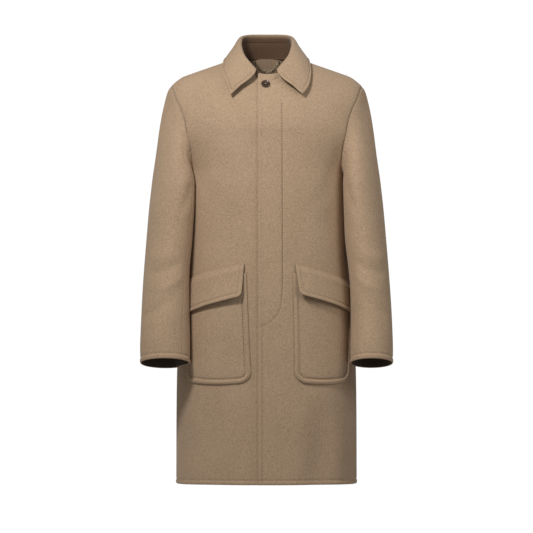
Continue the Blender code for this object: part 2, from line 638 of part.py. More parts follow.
def add_hanger(collection):
    """Two fixed rings at the back neck seam and the chain that hangs between them."""
    ring_top = RING_RADIUS + 0.5 * CHAIN_WIRE - RING_DROP
    spot = place(CHAIN_HALF_SPAN + RING_OVERHANG, ring_top, False)
    inside = form(*spot) - CLOTH * form_normal(*spot)
    reach = RING_RADIUS + 0.5 * CHAIN_WIRE + RING_CLEAR
    anchor = np.array((0.0, inside[1] - reach, -RING_DROP))
    for word, side in (("left", 1.0), ("right", -1.0)):
        ring = wire_loop(collection, "hanger_ring_" + word, RING_RADIUS, RING_RADIUS)
        ring.matrix_world = Matrix.Translation((side * CHAIN_HALF_SPAN, *anchor[1:])) @ Matrix.Rotation(
            0.5 * math.pi, 4, "Y")
    hinge = bpy.data.objects.new("hanger_hinge", None)
    hinge.location = anchor
    collection.objects.link(hinge)
    points, distance = chain_path(anchor)
    bite = CHAIN_WIRE + CHAIN_PLAY
    length = (distance[-1] + (CHAIN_PLACES + 1) * bite) / CHAIN_PLACES
    pitch = length - bite
    for place_number in range(CHAIN_SHORT_LINKS + 1):
        last = CHAIN_PLACES - 1 if place_number == CHAIN_SHORT_LINKS else place_number
        start = path_point(points, distance, place_number * pitch - bite)
        end = path_point(points, distance, last * pitch - bite + length)
        along = unit(end - start)
        depth = np.array((0.0, 1.0, 0.0))
        across = np.cross(depth, along)
        if place_number % 2:
            across = depth
        turned = Matrix(np.stack((along, across, np.cross(along, across)), axis=-1).tolist()).to_4x4()
        half_length = 0.5 * float(np.linalg.norm(end - start))
        link = wire_loop(collection, "hanger_link_%02d" % (place_number + 1), half_length, CHAIN_HALF_WIDTH)
        link.parent = hinge
        link.matrix_local = Matrix.Translation(0.5 * (start + end) - anchor) @ turned


def build():
    clear_scene()
    coat = bpy.data.collections.new("car_coat")
    bpy.context.scene.collection.children.link(coat)
    add_front(coat, "front_left", 1.0, LEFT_EDGE_X)
    add_front(coat, "front_right", -1.0, RIGHT_EDGE_X)
    add_back(coat, "back_left", 1.0)
    add_back(coat, "back_right", -1.0)
    add_sleeve(coat, "left", 1.0, SLEEVE_LEFT)
    add_sleeve(coat, "right", -1.0, SLEEVE_RIGHT)
    add_collar(coat)
    flap_lift = CLOTH + 2.0 * PATCH_GAP
    for word, side, pocket, flap in (("left", 1.0, POCKET_LEFT, FLAP_LEFT),
                                     ("right", -1.0, POCKET_RIGHT, FLAP_RIGHT)):
        add_patch(coat, "pocket_" + word, side, pocket, POCKET_CORNER, PATCH_ROWS, PATCH_GAP, NO_FLARE)
        add_patch(coat, "flap_" + word, side, flap, FLAP_CORNER, FLAP_ROWS, flap_lift, FLAP_FLARE)
    add_button(coat)
    add_hanger(coat)


build()
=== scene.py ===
"""Looks of the tan wool car coat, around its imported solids. Metres, +Z up, the front faces -Y.

Every cloth piece is a thin wall on the form of its solid: a grid of points on the form, moved out by its own
puffs, grooves and creases, with an inner face one cloth further in and a rounded rim between the two.
"""
import math

import bpy
import numpy as np
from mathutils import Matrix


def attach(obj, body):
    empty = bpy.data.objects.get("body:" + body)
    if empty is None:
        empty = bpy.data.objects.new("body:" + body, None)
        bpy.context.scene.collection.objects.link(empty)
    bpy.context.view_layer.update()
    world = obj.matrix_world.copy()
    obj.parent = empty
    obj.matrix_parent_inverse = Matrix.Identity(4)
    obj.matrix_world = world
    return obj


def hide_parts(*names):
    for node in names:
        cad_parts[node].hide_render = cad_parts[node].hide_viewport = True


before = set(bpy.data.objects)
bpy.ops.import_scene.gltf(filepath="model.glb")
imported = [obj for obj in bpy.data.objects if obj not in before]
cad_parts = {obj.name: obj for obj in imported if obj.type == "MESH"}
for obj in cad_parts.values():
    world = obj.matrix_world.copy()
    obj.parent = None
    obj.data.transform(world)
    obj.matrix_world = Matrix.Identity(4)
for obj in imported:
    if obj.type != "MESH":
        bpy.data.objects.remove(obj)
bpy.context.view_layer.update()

# Cloth
CLOTH = 0.0024
COLLAR_CLOTH = 0.0030
SEAM_GAP = 0.0001
SEAM_RIM = 0.00015
EDGE_TRIM = 0.00005
PATCH_GAP = 0.0010
RIM_STEPS = 5
RIM_FADE = 4.0

# Body of the coat, as in the solids
HEM_Z = -0.996
UNDERARM_Z = -0.272
CHEST_TOP_Z = -0.175
SHOULDER_RUN = 0.200
SHOULDER_TOP = CHEST_TOP_Z + SHOULDER_RUN
SHOULDER_SLOPE = 0.352
SHOULDER_TIP_X = 0.226
TIP_ROUND_X = 0.190
TIP_ROUND_DROP = 0.018
TIP_FULL = 0.0026
TIP_FULL_REACH = 0.024
TIP_FULL_Z = (-0.155, -0.090)
SIDE_SEAM_HEM = math.radians(72.0)
SIDE_SEAM_TOP = math.radians(86.0)
FRONT_BEND = 1.53
BACK_BEND = 2.60
TIP_BEND = 2.00
NECK_HALF = 0.072
NECK_FRONT_DROP = 0.043
NECK_BACK_DROP = 0.002
LEFT_EDGE_X = 0.020
RIGHT_EDGE_X = 0.030
LAP_DEPTH = 0.0033
LAP_EASE = (0.022, 0.045)
NECK_SHARE = 7.0 / 13.0
LOW_SHARE = 12.0 / 22.0
TOP_FADE = 3

# z, half width, front depth, back depth, squareness of the section
SECTIONS = (
    (HEM_Z, 0.2130, 0.172, 0.165, 2.30),
    (-0.740, 0.2110, 0.168, 0.157, 2.25),
    (-0.600, 0.2020, 0.165, 0.150, 2.20),
    (-0.430, 0.1920, 0.160, 0.143, 2.10),
    (-0.272, 0.1900, 0.154, 0.138, 2.05),
    (-0.235, 0.2020, 0.151, 0.135, 2.00),
    (-0.175, 0.2320, 0.145, 0.130, 2.00),
    (-0.100, 0.2320, 0.145, 0.130, 2.00),
)

# share of the way from shoulder tip to underarm, x on the front, x on the back, z
ARMHOLE = (
    (0.00, 0.2260, 0.2260, -0.0715),
    (0.13, 0.2140, 0.2160, -0.0940),
    (0.27, 0.2020, 0.2060, -0.1210),
    (0.43, 0.1905, 0.1960, -0.1560),
    (0.60, 0.1820, 0.1880, -0.1930),
    (0.76, 0.1745, 0.1800, -0.2310),
    (0.88, 0.1765, 0.1790, -0.2570),
    (1.00, 0.1890, 0.1890, UNDERARM_Z),
)

# z at the middle, edge by the body, outer edge, half depth, y of the middle, turn and tip in degrees
SLEEVE_LEFT = (
    (-0.300, 0.1785, 0.2692, 0.080, -0.040, 15.0, 0.0),
    (-0.350, 0.1800, 0.2745, 0.078, -0.046, 15.0, 1.0),
    (-0.430, 0.1835, 0.2810, 0.073, -0.056, 14.0, 4.0),
    (-0.527, 0.1940, 0.2880, 0.066, -0.073, 12.0, 8.0),
    (-0.602, 0.1960, 0.2920, 0.061, -0.088, 10.0, 10.0),
    (-0.675, 0.1950, 0.2936, 0.057, -0.104, 8.0, 12.5),
    (-0.7165, 0.1945, 0.2936, 0.055, -0.112, 6.0, 13.5),
)
SLEEVE_RIGHT = (
    (-0.300, 0.1630, 0.2700, 0.080, -0.042, 16.0, 0.0),
    (-0.350, 0.1650, 0.2752, 0.078, -0.050, 16.0, 1.0),
    (-0.430, 0.1715, 0.2815, 0.073, -0.062, 15.0, 4.0),
    (-0.527, 0.1790, 0.2880, 0.066, -0.082, 13.0, 8.0),
    (-0.602, 0.1785, 0.2912, 0.061, -0.098, 11.0, 10.0),
    (-0.675, 0.1775, 0.2930, 0.058, -0.113, 9.0, 12.5),
    (-0.7165, 0.1775, 0.2928, 0.057, -0.120, 8.0, 13.5),
)
SLEEVE_CLEAR_HIGH = 0.004
SLEEVE_CLEAR_LOW = 0.011
CLEAR_CHANGE_Z = (-0.430, -0.485)
CLEAR_BLEND = 0.006
UNDERARM_GAP = 0.0012
CAP_START_PULL = 0.55
CAP_END_PULL = 0.75
CAP_TOWARDS_RING = 0.2
BELOW_SEAM = 0.004
SLEEVE_FRONT_SEAM = math.radians(126.0)
SLEEVE_BACK_SEAM = math.radians(126.0)
RING_STEP = 0.0463
# Columns on either side of the shoulder tip over which the seam's direction swings evenly
TIP_COLUMNS = 9
# The tuck under the front's edge: how far down the sleeve it reaches, the share of the armhole where it
# starts and over which it grows, the turn where it ends and over which it fades, and how far it goes back
# and in
TUCK_REACH = 0.024
TUCK_START = 0.50
TUCK_CHANGE = 0.28
TUCK_END = math.radians(222.0)
TUCK_FADE = math.radians(42.0)
TUCK_BACK = 0.0050
TUCK_SINK = CLOTH + 0.0075

# neck angle in degrees, fold x, y, z, leaf edge x, z, how far the edge stands off, fold radius, leaf's bulge;
# the last row mirrors the one at 150, so that the collar is round at the centre back
COLLAR = (
    (19.5, 0.0260, -0.0850, -0.0310, 0.0820, -0.1000, 0.0130, 0.0024, 0.0040),
    (45.0, 0.0520, -0.0600, 0.0000, 0.0975, -0.0735, 0.0085, 0.0032, 0.0040),
    (70.0, 0.0615, -0.0270, 0.0260, 0.1030, -0.0390, 0.0055, 0.0038, 0.0020),
    (90.0, 0.0630, 0.0050, 0.0420, 0.0985, -0.0100, 0.0040, 0.0040, 0.0002),
    (118.0, 0.0585, 0.0400, 0.0530, 0.0880, -0.0150, 0.0045, 0.0042, 0.0002),
    (150.0, 0.0385, 0.0680, 0.0590, 0.0540, -0.0230, 0.0050, 0.0044, 0.0030),
    (180.0, 0.0000, 0.0780, 0.0600, 0.0000, -0.0250, 0.0050, 0.0044, 0.0040),
    (210.0, -0.0385, 0.0680, 0.0590, -0.0540, -0.0230, 0.0050, 0.0044, 0.0030),
)
STAND_SHARE = 0.72
STAND_LIFT = 0.0010
LEAF_LIFT = 0.8
FOLD_DROP = 0.6
# Shares of the way along a section of the collar, from the neck over the fold to the leaf's edge
COLLAR_KNOTS = (-0.03, 0.0, 0.22, 0.36, 0.43, 0.50, 0.75, 1.0)
STAND_SEAM = COLLAR_KNOTS[2]
LEAF_START = COLLAR_KNOTS[5]
LEAF_FADE = 0.06
LEAF_STITCH_START = 0.52
# Where the stand's painted shade, a darker tone that stands in for the shade inside the neck, has faded out,
# and over what share it fades
STAND_PAINTED_SHADE = (0.44, 0.17)
# How far the stand's foot reaches down inside the neck, and in from it
STAND_FOOT = (0.0025, 0.0020)
BACK_FOOT = (-0.0030, 0.0060)
BACK_FOOT_TURN = (110.0, 150.0)
# How far the front edge of each leaf rolls forward and down, and over how many degrees of neck
LEAF_ROLL = (-0.0020, -0.0120, -0.0120)
LEAF_ROLL_TURN = 11.0
LEAF_ROLL_LINES = ((0.36, 0.0), (0.43, 0.45), (0.50, 0.75), (0.62, 1.0), (0.78, 0.62), (1.0, 0.0))
# How far the right leaf's outer edge draws in near its tip, at how many degrees of neck and over how many
LEAF_NARROW = (0.0075, 44.0, 17.0)

# Corners of each pocket and flap: x from the centre line and z
POCKET_LEFT = {"inner_top": (0.061, -0.507), "outer_top": (0.193, -0.553),
               "inner_bottom": (0.0645, -0.7645), "outer_bottom": (0.1895, -0.7645), "bow": 0.0065}
POCKET_RIGHT = {"inner_top": (0.046, -0.507), "outer_top": (0.181, -0.543),
                "inner_bottom": (0.0340, -0.7645), "outer_bottom": (0.1835, -0.7645), "bow": 0.0065}
FLAP_LEFT = {"inner_top": (0.066, -0.486), "outer_top": (0.191, -0.532),
             "inner_bottom": (0.073, -0.556), "outer_bottom": (0.194, -0.604)}
FLAP_RIGHT = {"inner_top": (0.051, -0.484), "outer_top": (0.178, -0.520),
              "inner_bottom": (0.055, -0.560), "outer_bottom": (0.183, -0.604)}
POCKET_CORNER = 0.024
FLAP_CORNER = 0.009
FLAP_RISE = 0.22
# How far a flap's lower edge stands off the pocket at its inner and outer end
FLAP_FLARE = (0.0130, 0.0020)
NO_FLARE = (0.0, 0.0)

# Sewing: x and z of the fly's stitch line and of the stitch line along the front edge below it
FLY_LINE = ((0.0360, -0.110), (0.0365, -0.300), (0.0370, -0.480), (0.0362, -0.545), (0.0344, -0.570),
            (0.0315, -0.590), (0.0255, -0.603), (0.0178, -0.611), (0.0095, -0.6185), (0.0012, -0.6245),
            (-0.0125, -0.630))
EDGE_LINE = ((-0.0085, -0.629), (-0.0083, -0.750), (-0.0083, HEM_Z + 0.002))
STITCH_LENGTH = 0.0040
STITCH_PITCH = 0.0062
STITCH_THICK = 0.00055
STITCH_RINGS = 5
STITCH_AROUND = 6
# How far a stitch's ends sink in, in thicknesses
STITCH_ENDS = 1.4
STITCH_AHEAD = 0.0005
# How far the stitches lie below the cloth's own face, and how far below a flap those of the pocket start
STITCH_SINK = 0.0005
COLLAR_STITCH_SINK = 0.0004
STITCH_BELOW_FLAP = 0.006
# Width of each welt
HEM_WELT = 0.0100
CUFF_WELT = 0.0120
POCKET_WELT = 0.0115
FLAP_WELT = 0.0090
COLLAR_WELT = 0.0090
WELT_FULL = 0.8
# Depth of the groove, height of the puff and, where it isn't WELT_NARROW, width of the groove
WELT_NARROW = 0.0017
HEM_RELIEF = (0.0011, 0.0008, 0.0024)
CUFF_RELIEF = (0.0012, 0.0009, 0.0024)
COLLAR_RELIEF = (0.0010, 0.0007)
# How far the hem is lower at the sides, and how far up that reaches
HEM_DIP = 0.0055
HEM_DIP_REACH = 0.20
# How far the left leaf's tip is drawn in and over what distance, and the points beside and above it
TIP_DRAW = 0.0030
TIP_ROUND = 0.0080
TIP_STEPS = (14, 12)
POCKET_PUFF = 0.0022
POCKET_GROOVE = 0.0022
FLAP_PUFF = 0.0010
FLAP_GROOVE = 0.0009
PATCH_NARROW = 0.0021
PATCH_TOP_FADE = 0.12
# Height of the fullness inside a patch's welt and the distance over which it rises
PATCH_FULL = (0.0006, 0.02)
PATCH_ROWS = 70
PATCH_COLUMNS = 64
PATCH_LINE_END = 0.001
PATCH_LEAST_BEND = 0.001
# How far below a flap's edge the pocket's relief starts, and over what distance it rises
COVER_FADE = (0.001, 0.016)

# Depth and width of the dips along seams
SEAM_DIP = (0.0011, 0.0040)
SIDE_DIP = 0.0010
SIDE_DIP_LESS = 0.0008
ARM_DIP = (0.0002, 0.0045)
SLEEVE_DIP = (0.0002, 0.0032)
COLLAR_DIP = (0.0009, 0.003)
# Distances over which relief and creases fade: above the underarm, past the neck, at seams and at the top
ARM_FADE = 0.05
NECK_FADE = 0.01
CREASE_FADE = 0.012
TOP_CREASE_FADE = 0.02
SLEEVE_CREASE_FADE = 0.03
FRONT_CREASE_START = 0.03
FRONT_CREASE_FADE = 0.02
CREASE_BOW = 0.25
# Bands beside a seam or an edge: height, distance from it, width
ARM_PUFF = (0.0003, 0.0055, 0.0026)
ARM_GROOVE = (-0.0002, 0.0100, 0.0019)
BACK_ARM_PUFF = (0.0007, 0.0055, 0.0026)
FLY_EDGE_ROLL = (0.0014, 0.0050, 0.0042)
# The fly's fullness with its ends in x and z and how it fades there; the welt of the edge below it, by width,
# groove and puff; and the grooves of both stitch lines
FLY_PUFF = 0.0006
FLY_SIDE_X = 0.0375
FLY_SIDE_FADE = 0.0035
FLY_END_Z = -0.632
FLY_END_FADE = 0.006
LOW_EDGE_FADE = 0.012
LOW_EDGE_WELT = (0.0117, 0.0, 0.0018)
FLY_GROOVE = (-0.0016, 0.0, 0.0018)
LOW_EDGE_GROOVE = (-0.0019, 0.0, 0.0020)

# Button on the left front
BUTTON_X = -0.002
BUTTON_Z = -0.0685
BUTTON_HOLE_RADIUS = 0.0011
BUTTON_HOLE_PLACE = 0.0022
BUTTON_HOLE_DEPTH = 0.0016
BUTTON_HOLE_EDGE = 0.00012
BUTTON_TILT = math.radians(45.0)
# Rings on the flat of its face, on the rest of its profile, and from the middle as far as the holes reach
BUTTON_RINGS = (22, 60, 30)
BUTTON_AROUND = 72
# Thread between the holes: how far it stands off the front, its length in hole places and its thickness
BUTTON_THREAD = (0.0041, 2.5, 0.00075)
# End of the buttonhole: place across, up and out from the button's middle, direction, length and thickness
HOLE_END_PLACE = (0.0118, -0.0075, 0.0001)
HOLE_END_WAY = (0.8, -0.6)
HOLE_END_SIZE = (0.0060, 0.0007)

# Hanger chain inside the back neck
CHAIN_HALF_SPAN = 0.028
CHAIN_SAG = 0.022
CHAIN_WIRE = 0.0012
CHAIN_PLAY = 0.00035
CHAIN_HALF_WIDTH = 0.0017
CHAIN_PLACES = 13
CHAIN_SHORT_LINKS = 10
RING_RADIUS = 0.0029
RING_DROP = 0.0045
RING_OVERHANG = 0.004
RING_CLEAR = 0.0016
RING_SIDE_SHARE = 0.999
RING_STEPS = 20
CHAIN_STEPS = 201

# Camera, floor and light
CAMERA_PLACE = (0.0, -7.0, -0.492)
PICTURE_WIDTH = 1.258
SENSOR = 36.0
FLOOR_Z = -1.30
FLOOR_RADIUS = 1.8
FLOOR_STEPS = 96
ROOM_SEEN = 1.02
ROOM_LIGHT = 0.22
LIGHT_TONE = (0.990, 1.0, 1.035)
# Each light's place, the point it faces, its width in metres and its power in watts
MAIN_LIGHT = ((-0.80, -1.50, 1.08), (0.0, 0.0, -0.30), 0.40, 34.0)
FILL_LIGHT = ((0.85, -0.80, 0.05), (0.25, 0.0, -0.40), 0.45, 3.3)


def add_object(name, data):
    """A new object in the scene, at the origin."""
    thing = bpy.data.objects.new(name, data)
    bpy.context.collection.objects.link(thing)
    return thing


def set_camera():
    """A long lens level with the middle of the coat, with PICTURE_WIDTH across the frame at the origin."""
    data = bpy.data.cameras.new("camera")
    data.sensor_width = SENSOR
    data.lens = SENSOR * -CAMERA_PLACE[1] / PICTURE_WIDTH
    camera = add_object("camera", data)
    camera.location = CAMERA_PLACE
    camera.rotation_euler = (0.5 * math.pi, 0.0, 0.0)
    bpy.context.scene.camera = camera


set_camera()


def unit(vectors):
    """The same directions, one long."""
    return vectors / np.linalg.norm(vectors, axis=-1, keepdims=True)


def ease(share):
    """Smooth step from 0 to 1."""
    share = np.clip(share, 0.0, 1.0)
    return share * share * (3.0 - 2.0 * share)


def bump(distance, width):
    """Bell curve: 1 at distance 0, falling off over about the width."""
    return np.exp(-(distance / width) ** 2)


def full_turn(steps):
    """Even angles round a whole turn, from 0."""
    return np.linspace(0.0, 2.0 * math.pi, steps, endpoint=False)


def between(at, keys, points):
    """Points at given keys, straight between those that are given."""
    return np.stack([np.interp(at, keys, points[:, axis]) for axis in range(3)], axis=-1)


def smooth(keys, values, at):
    """Monotone cubic curve through (key, value) pairs, with no overshoot between them."""
    keys = np.asarray(keys, float)
    values = np.asarray(values, float)
    step = np.diff(keys)
    slope = np.diff(values) / step
    tangent = np.concatenate((slope[:1], 0.5 * (slope[1:] + slope[:-1]), slope[-1:]))
    rising = slope[1:] * slope[:-1] > 0.0
    limit = 3.0 * np.minimum(np.abs(slope[1:]), np.abs(slope[:-1]))
    tangent[1:-1] = np.where(rising, np.clip(tangent[1:-1], -limit, limit), 0.0)
    at = np.clip(at, keys[0], keys[-1])
    index = np.clip(np.searchsorted(keys, at, side="right") - 1, 0, len(step) - 1)
    share = (at - keys[index]) / step[index]
    start = (1.0 + 2.0 * share) * (1.0 - share) ** 2 * values[index]
    start_slope = share * (1.0 - share) ** 2 * step[index] * tangent[index]
    end = share ** 2 * (3.0 - 2.0 * share) * values[index + 1]
    end_slope = share ** 2 * (share - 1.0) * step[index] * tangent[index + 1]
    return start + start_slope + end + end_slope


def table_column(table, column, at):
    """A table's column at given values of its first column, which runs up or down."""
    rows = sorted(table)
    return smooth([row[0] for row in rows], [row[column] for row in rows], at)


def ridge(x):
    """Height of the shoulder seam at x: a slope, rounded down at the tip and levelled across the neck."""
    x = np.abs(x)
    slope = -SHOULDER_SLOPE * (x - NECK_HALF)
    past = np.maximum(x - TIP_ROUND_X, 0.0) / (SHOULDER_TIP_X - TIP_ROUND_X)
    neck = 0.5 * SHOULDER_SLOPE * NECK_HALF * (1.0 - (x / NECK_HALF) ** 2)
    return np.where(x < NECK_HALF, neck, slope - TIP_ROUND_DROP * past ** 2)


def bend_at(x, front):
    """Roundness of the slope between chest and shoulder seam, from the neck out to the tip."""
    out = np.minimum(np.abs(x) / SHOULDER_TIP_X, 1.0) ** 2
    middle = np.where(front, FRONT_BEND, BACK_BEND)
    return middle + (TIP_BEND - middle) * out


def form(angle, height):
    """Outer face of the coat's body: squared ovals up to the chest, then drawn in to the shoulder seam.

    angle runs from the centre front (0) round the wearer's left side to the centre back (pi). height is z up
    to CHEST_TOP_Z, and then the way up the shoulder slope, which ends at SHOULDER_TOP on the shoulder seam.
    """
    angle, height = np.broadcast_arrays(np.asarray(angle, float), np.asarray(height, float))
    low = np.minimum(height, CHEST_TOP_Z)
    power = 2.0 / table_column(SECTIONS, 4, low)
    sine, cosine = np.sin(angle), np.cos(angle)
    x = table_column(SECTIONS, 1, low) * np.sign(sine) * np.abs(sine) ** power
    depth = np.where(cosine > 0.0, table_column(SECTIONS, 2, low), table_column(SECTIONS, 3, low))
    y = -np.sign(cosine) * depth * np.abs(cosine) ** power
    rise = 0.5 * math.pi * np.clip((height - CHEST_TOP_Z) / SHOULDER_RUN, 0.0, 1.0)
    bend = bend_at(x, cosine > 0.0)
    climb = (ridge(x) - CHEST_TOP_Z) * np.sin(rise) ** (2.0 / bend)
    y = y * np.maximum(np.cos(rise), 0.0) ** (2.0 / bend)
    return np.stack((x, y, low + climb), axis=-1)


def form_normal(angle, height):
    """Outward direction of the body's outer face, from small steps round it and up it."""
    step = 1.0e-4
    height = np.minimum(height, SHOULDER_TOP - 2.0 * step)
    across = form(angle + step, height) - form(angle - step, height)
    upward = form(angle, height + step) - form(angle, height - step)
    return unit(np.cross(across, upward))


def place(x, z, front=True):
    """Angle and height on the form of the point seen at x and z from the front or the back."""
    x, z = np.broadcast_arrays(np.asarray(x, float), np.asarray(z, float))
    low = np.minimum(z, CHEST_TOP_Z)
    share = np.clip(np.abs(x) / table_column(SECTIONS, 1, low), 0.0, 1.0)
    turn = np.sign(x) * np.arcsin(share ** (0.5 * table_column(SECTIONS, 4, low)))
    angle = turn if front else math.pi - turn
    up = np.clip((z - CHEST_TOP_Z) / (ridge(x) - CHEST_TOP_Z), 0.0, 1.0)
    rise = np.arcsin(up ** (0.5 * bend_at(x, front)))
    return angle, low + SHOULDER_RUN * rise / (0.5 * math.pi)


def side_seam(z):
    """Angle of the side seam, which moves forward towards the hem."""
    share = (z - HEM_Z) / (UNDERARM_Z - HEM_Z)
    return SIDE_SEAM_HEM + (SIDE_SEAM_TOP - SIDE_SEAM_HEM) * share


def armhole(front, share):
    """Angle and height along half an armhole, at shares of the way from shoulder tip (0) to underarm (1)."""
    keys = np.array([row[0] for row in ARMHOLE])
    x = np.array([row[1 if front else 2] for row in ARMHOLE])
    angle, height = place(x, np.array([row[3] for row in ARMHOLE]), front)
    angle[-1], height[-1] = SIDE_SEAM_TOP, UNDERARM_Z
    height[0] = SHOULDER_TOP
    return smooth(keys, angle, share), smooth(keys, height, share)


def neck_line(degrees):
    """x and z of the neck seam; 0 is the centre front, 90 the shoulder seam and 180 the centre back."""
    turn = np.radians(degrees)
    drop = np.where(turn < 0.5 * math.pi, NECK_FRONT_DROP, NECK_BACK_DROP)
    return NECK_HALF * np.sin(turn), -drop * np.abs(np.cos(turn))


def half_panel(front, edge_x, across, up):
    """Angles and heights over half the body, from edge_x past the centre line out to side seam and armhole.

    The edges are drawn first, and each row of the grid runs straight between them, with the top edge's shape
    added near it and fading fast below, so that the rows below the arm stay level.
    """
    low = up <= LOW_SHARE
    low_z = HEM_Z + (UNDERARM_Z - HEM_Z) * np.minimum(up / LOW_SHARE, 1.0)
    arm_share = 1.0 - np.maximum(up - LOW_SHARE, 0.0) / (1.0 - LOW_SHARE)
    arm_angle, arm_height = armhole(front, arm_share)
    outer = np.stack((np.where(low, side_seam(low_z), arm_angle), np.where(low, low_z, arm_height)), axis=-1)
    start = math.degrees(math.asin(-edge_x / NECK_HALF)) if front else 180.0
    neck_x, neck_z = neck_line(start + (90.0 - start) * np.minimum(across / NECK_SHARE, 1.0))
    past = np.maximum(across - NECK_SHARE, 0.0) / (1.0 - NECK_SHARE)
    seam_x = NECK_HALF + (SHOULDER_TIP_X - NECK_HALF) * past
    at_neck = across < NECK_SHARE
    top_x = np.where(at_neck, neck_x, seam_x)
    top_z = np.where(at_neck, neck_z, ridge(seam_x))
    top = np.stack(place(top_x, top_z, front), axis=-1)
    top[-1] = outer[-1]
    middle_z = np.where(low, low_z, UNDERARM_Z + (top_z[0] - UNDERARM_Z) * (1.0 - arm_share))
    middle = np.stack(place(np.full_like(up, -edge_x), middle_z, front), axis=-1)
    top_bow = top - (top[0] + (top[-1] - top[0]) * across[:, None])
    fade = (up ** TOP_FADE)[:, None, None]
    grid = middle[:, None] + (outer - middle)[:, None] * across[None, :, None] + fade * top_bow[None]
    return grid[..., 0], grid[..., 1]


def lap_push(side, x):
    """How far the right front lies inside the form, to pass under the left one."""
    if side > 0:
        return np.zeros_like(x)
    start, end = LAP_EASE
    return LAP_DEPTH * (1.0 - ease((x - start) / (end - start)))


def mirrored(points, side):
    """Points made for the wearer's left, on the given side."""
    return points * np.array((side, 1.0, 1.0))


def grid_normals(points):
    """Directions square to a grid of points, on the side where rows and columns turn anticlockwise."""
    return unit(np.cross(np.gradient(points, axis=1), np.gradient(points, axis=0)))


def from_edge(points, edge):
    """Distance of each grid point from the named edge of the grid, along its row or column."""
    axis = 0 if edge in ("bottom", "top") else 1
    steps = np.linalg.norm(np.diff(points, axis=axis), axis=-1)
    ahead = np.insert(np.cumsum(steps, axis=axis), 0, 0.0, axis=axis)
    if edge in ("bottom", "start"):
        return ahead
    return np.take(ahead, [-1], axis=axis) - ahead


def line_distance(points, line):
    """Least distance from each point to a line of joined straight stretches."""
    points = np.asarray(points, float)
    line = np.asarray(line, float)
    best = np.full(points.shape[:-1], np.inf)
    for start, end in zip(line[:-1], line[1:]):
        run = end - start
        along = np.clip(((points - start) @ run) / (run @ run), 0.0, 1.0)
        best = np.minimum(best, np.linalg.norm(points - start - along[..., None] * run, axis=-1))
    return best


def creases(across, along, marks):
    """Soft troughs and ridges: each is a bell curve across a short straight stretch that fades at its ends.

    A mark is its middle across and along, its length, its turn in degrees from upright, its height, which is
    below zero for a trough, and its width.
    """
    total = np.zeros(np.broadcast(across, along).shape)
    for middle_across, middle_along, length, turn, height, width in marks:
        turn = math.radians(turn)
        off_across, off_along = across - middle_across, along - middle_along
        run = off_along * math.cos(turn) + off_across * math.sin(turn)
        side = off_across * math.cos(turn) - off_along * math.sin(turn)
        bow = side + CREASE_BOW * run ** 2 / length
        total += height * bump(bow, width) * np.exp(-(run / (0.5 * length)) ** 4)
    return total


def set_values(node, **values):
    """Sets a node's settings and input values by name, where _ stands for a space."""
    for name, value in values.items():
        socket = node.inputs.get(name.replace("_", " "))
        if socket is not None:
            socket.default_value = value
        else:
            setattr(node, name, value)


def set_node(tree, kind, **values):
    """A new shader node with its settings and input values."""
    node = tree.nodes.new(kind)
    set_values(node, **values)
    return node


def noise(tree, coordinates, scale, detail, rough=0.55, stretch=(1.0, 1.0, 1.0)):
    """Value from 0 to 1 that wanders over the surface at about 1/scale metres, stretched along each axis."""
    mapping = set_node(tree, "ShaderNodeMapping", Scale=stretch)
    texture = set_node(tree, "ShaderNodeTexNoise", Scale=scale, Detail=detail, Roughness=rough)
    tree.links.new(coordinates, mapping.inputs["Vector"])
    tree.links.new(mapping.outputs["Vector"], texture.inputs["Vector"])
    return texture.outputs["Fac"]


def ramp(tree, value, stops):
    """Colours along a value, from (place, colour) stops."""
    node = tree.nodes.new("ShaderNodeValToRGB")
    marks = node.color_ramp.elements
    while len(marks) < len(stops):
        marks.new(1.0)
    for mark, (spot, colour) in zip(marks, stops):
        mark.position = spot
        mark.color = (*colour, 1.0)
    tree.links.new(value, node.inputs["Fac"])
    return node.outputs["Color"]


def weighted(tree, values):
    """Sum of (value, weight) pairs."""
    total = None
    for value, weight in values:
        node = set_node(tree, "ShaderNodeMath", operation="MULTIPLY_ADD")
        node.inputs[1].default_value = weight
        tree.links.new(value, node.inputs[0])
        if total is None:
            node.inputs[2].default_value = 0.0
        else:
            tree.links.new(total, node.inputs[2])
        total = node.outputs["Value"]
    return total


def new_material(name):
    """An empty node material with its shader, its tree and its Object coordinates."""
    material = bpy.data.materials.new(name)
    material.use_nodes = True
    tree = material.node_tree
    shader = tree.nodes["Principled BSDF"]
    return material, shader, tree, tree.nodes.new("ShaderNodeTexCoord").outputs["Object"]


def greys(*stops):
    """Colour stops of plain grey, from (place, value) pairs."""
    return [(spot, (value,) * 3) for spot, value in stops]


def paint(tree, shader, socket, value, stops):
    """Sets one input of a shader by colours along a value."""
    tree.links.new(ramp(tree, value, stops), shader.inputs[socket])


def add_bump(tree, shader, height, strength, distance):
    """Tilts the surface by a height value, of the given depth in metres."""
    node = set_node(tree, "ShaderNodeBump", Strength=strength, Distance=distance)
    tree.links.new(height, node.inputs["Height"])
    tree.links.new(node.outputs["Normal"], shader.inputs["Normal"])


# Weight of the spread on red, green and blue, and the places of the three stops
DARK_WEIGHTS = (0.9, 1.0, 1.08)
LIGHT_WEIGHTS = (0.95, 1.0, 1.1)
SHADE_STOPS = (0.30, 0.50, 0.72)


def shades(colour, spread):
    """Colour stops from darker to lighter round one colour, the dark ones a little redder."""
    dark = tuple(part * (1.0 - spread * weight) for part, weight in zip(colour, DARK_WEIGHTS))
    light = tuple(part * (1.0 + spread * weight) for part, weight in zip(colour, LIGHT_WEIGHTS))
    return tuple(zip(SHADE_STOPS, (dark, colour, light)))


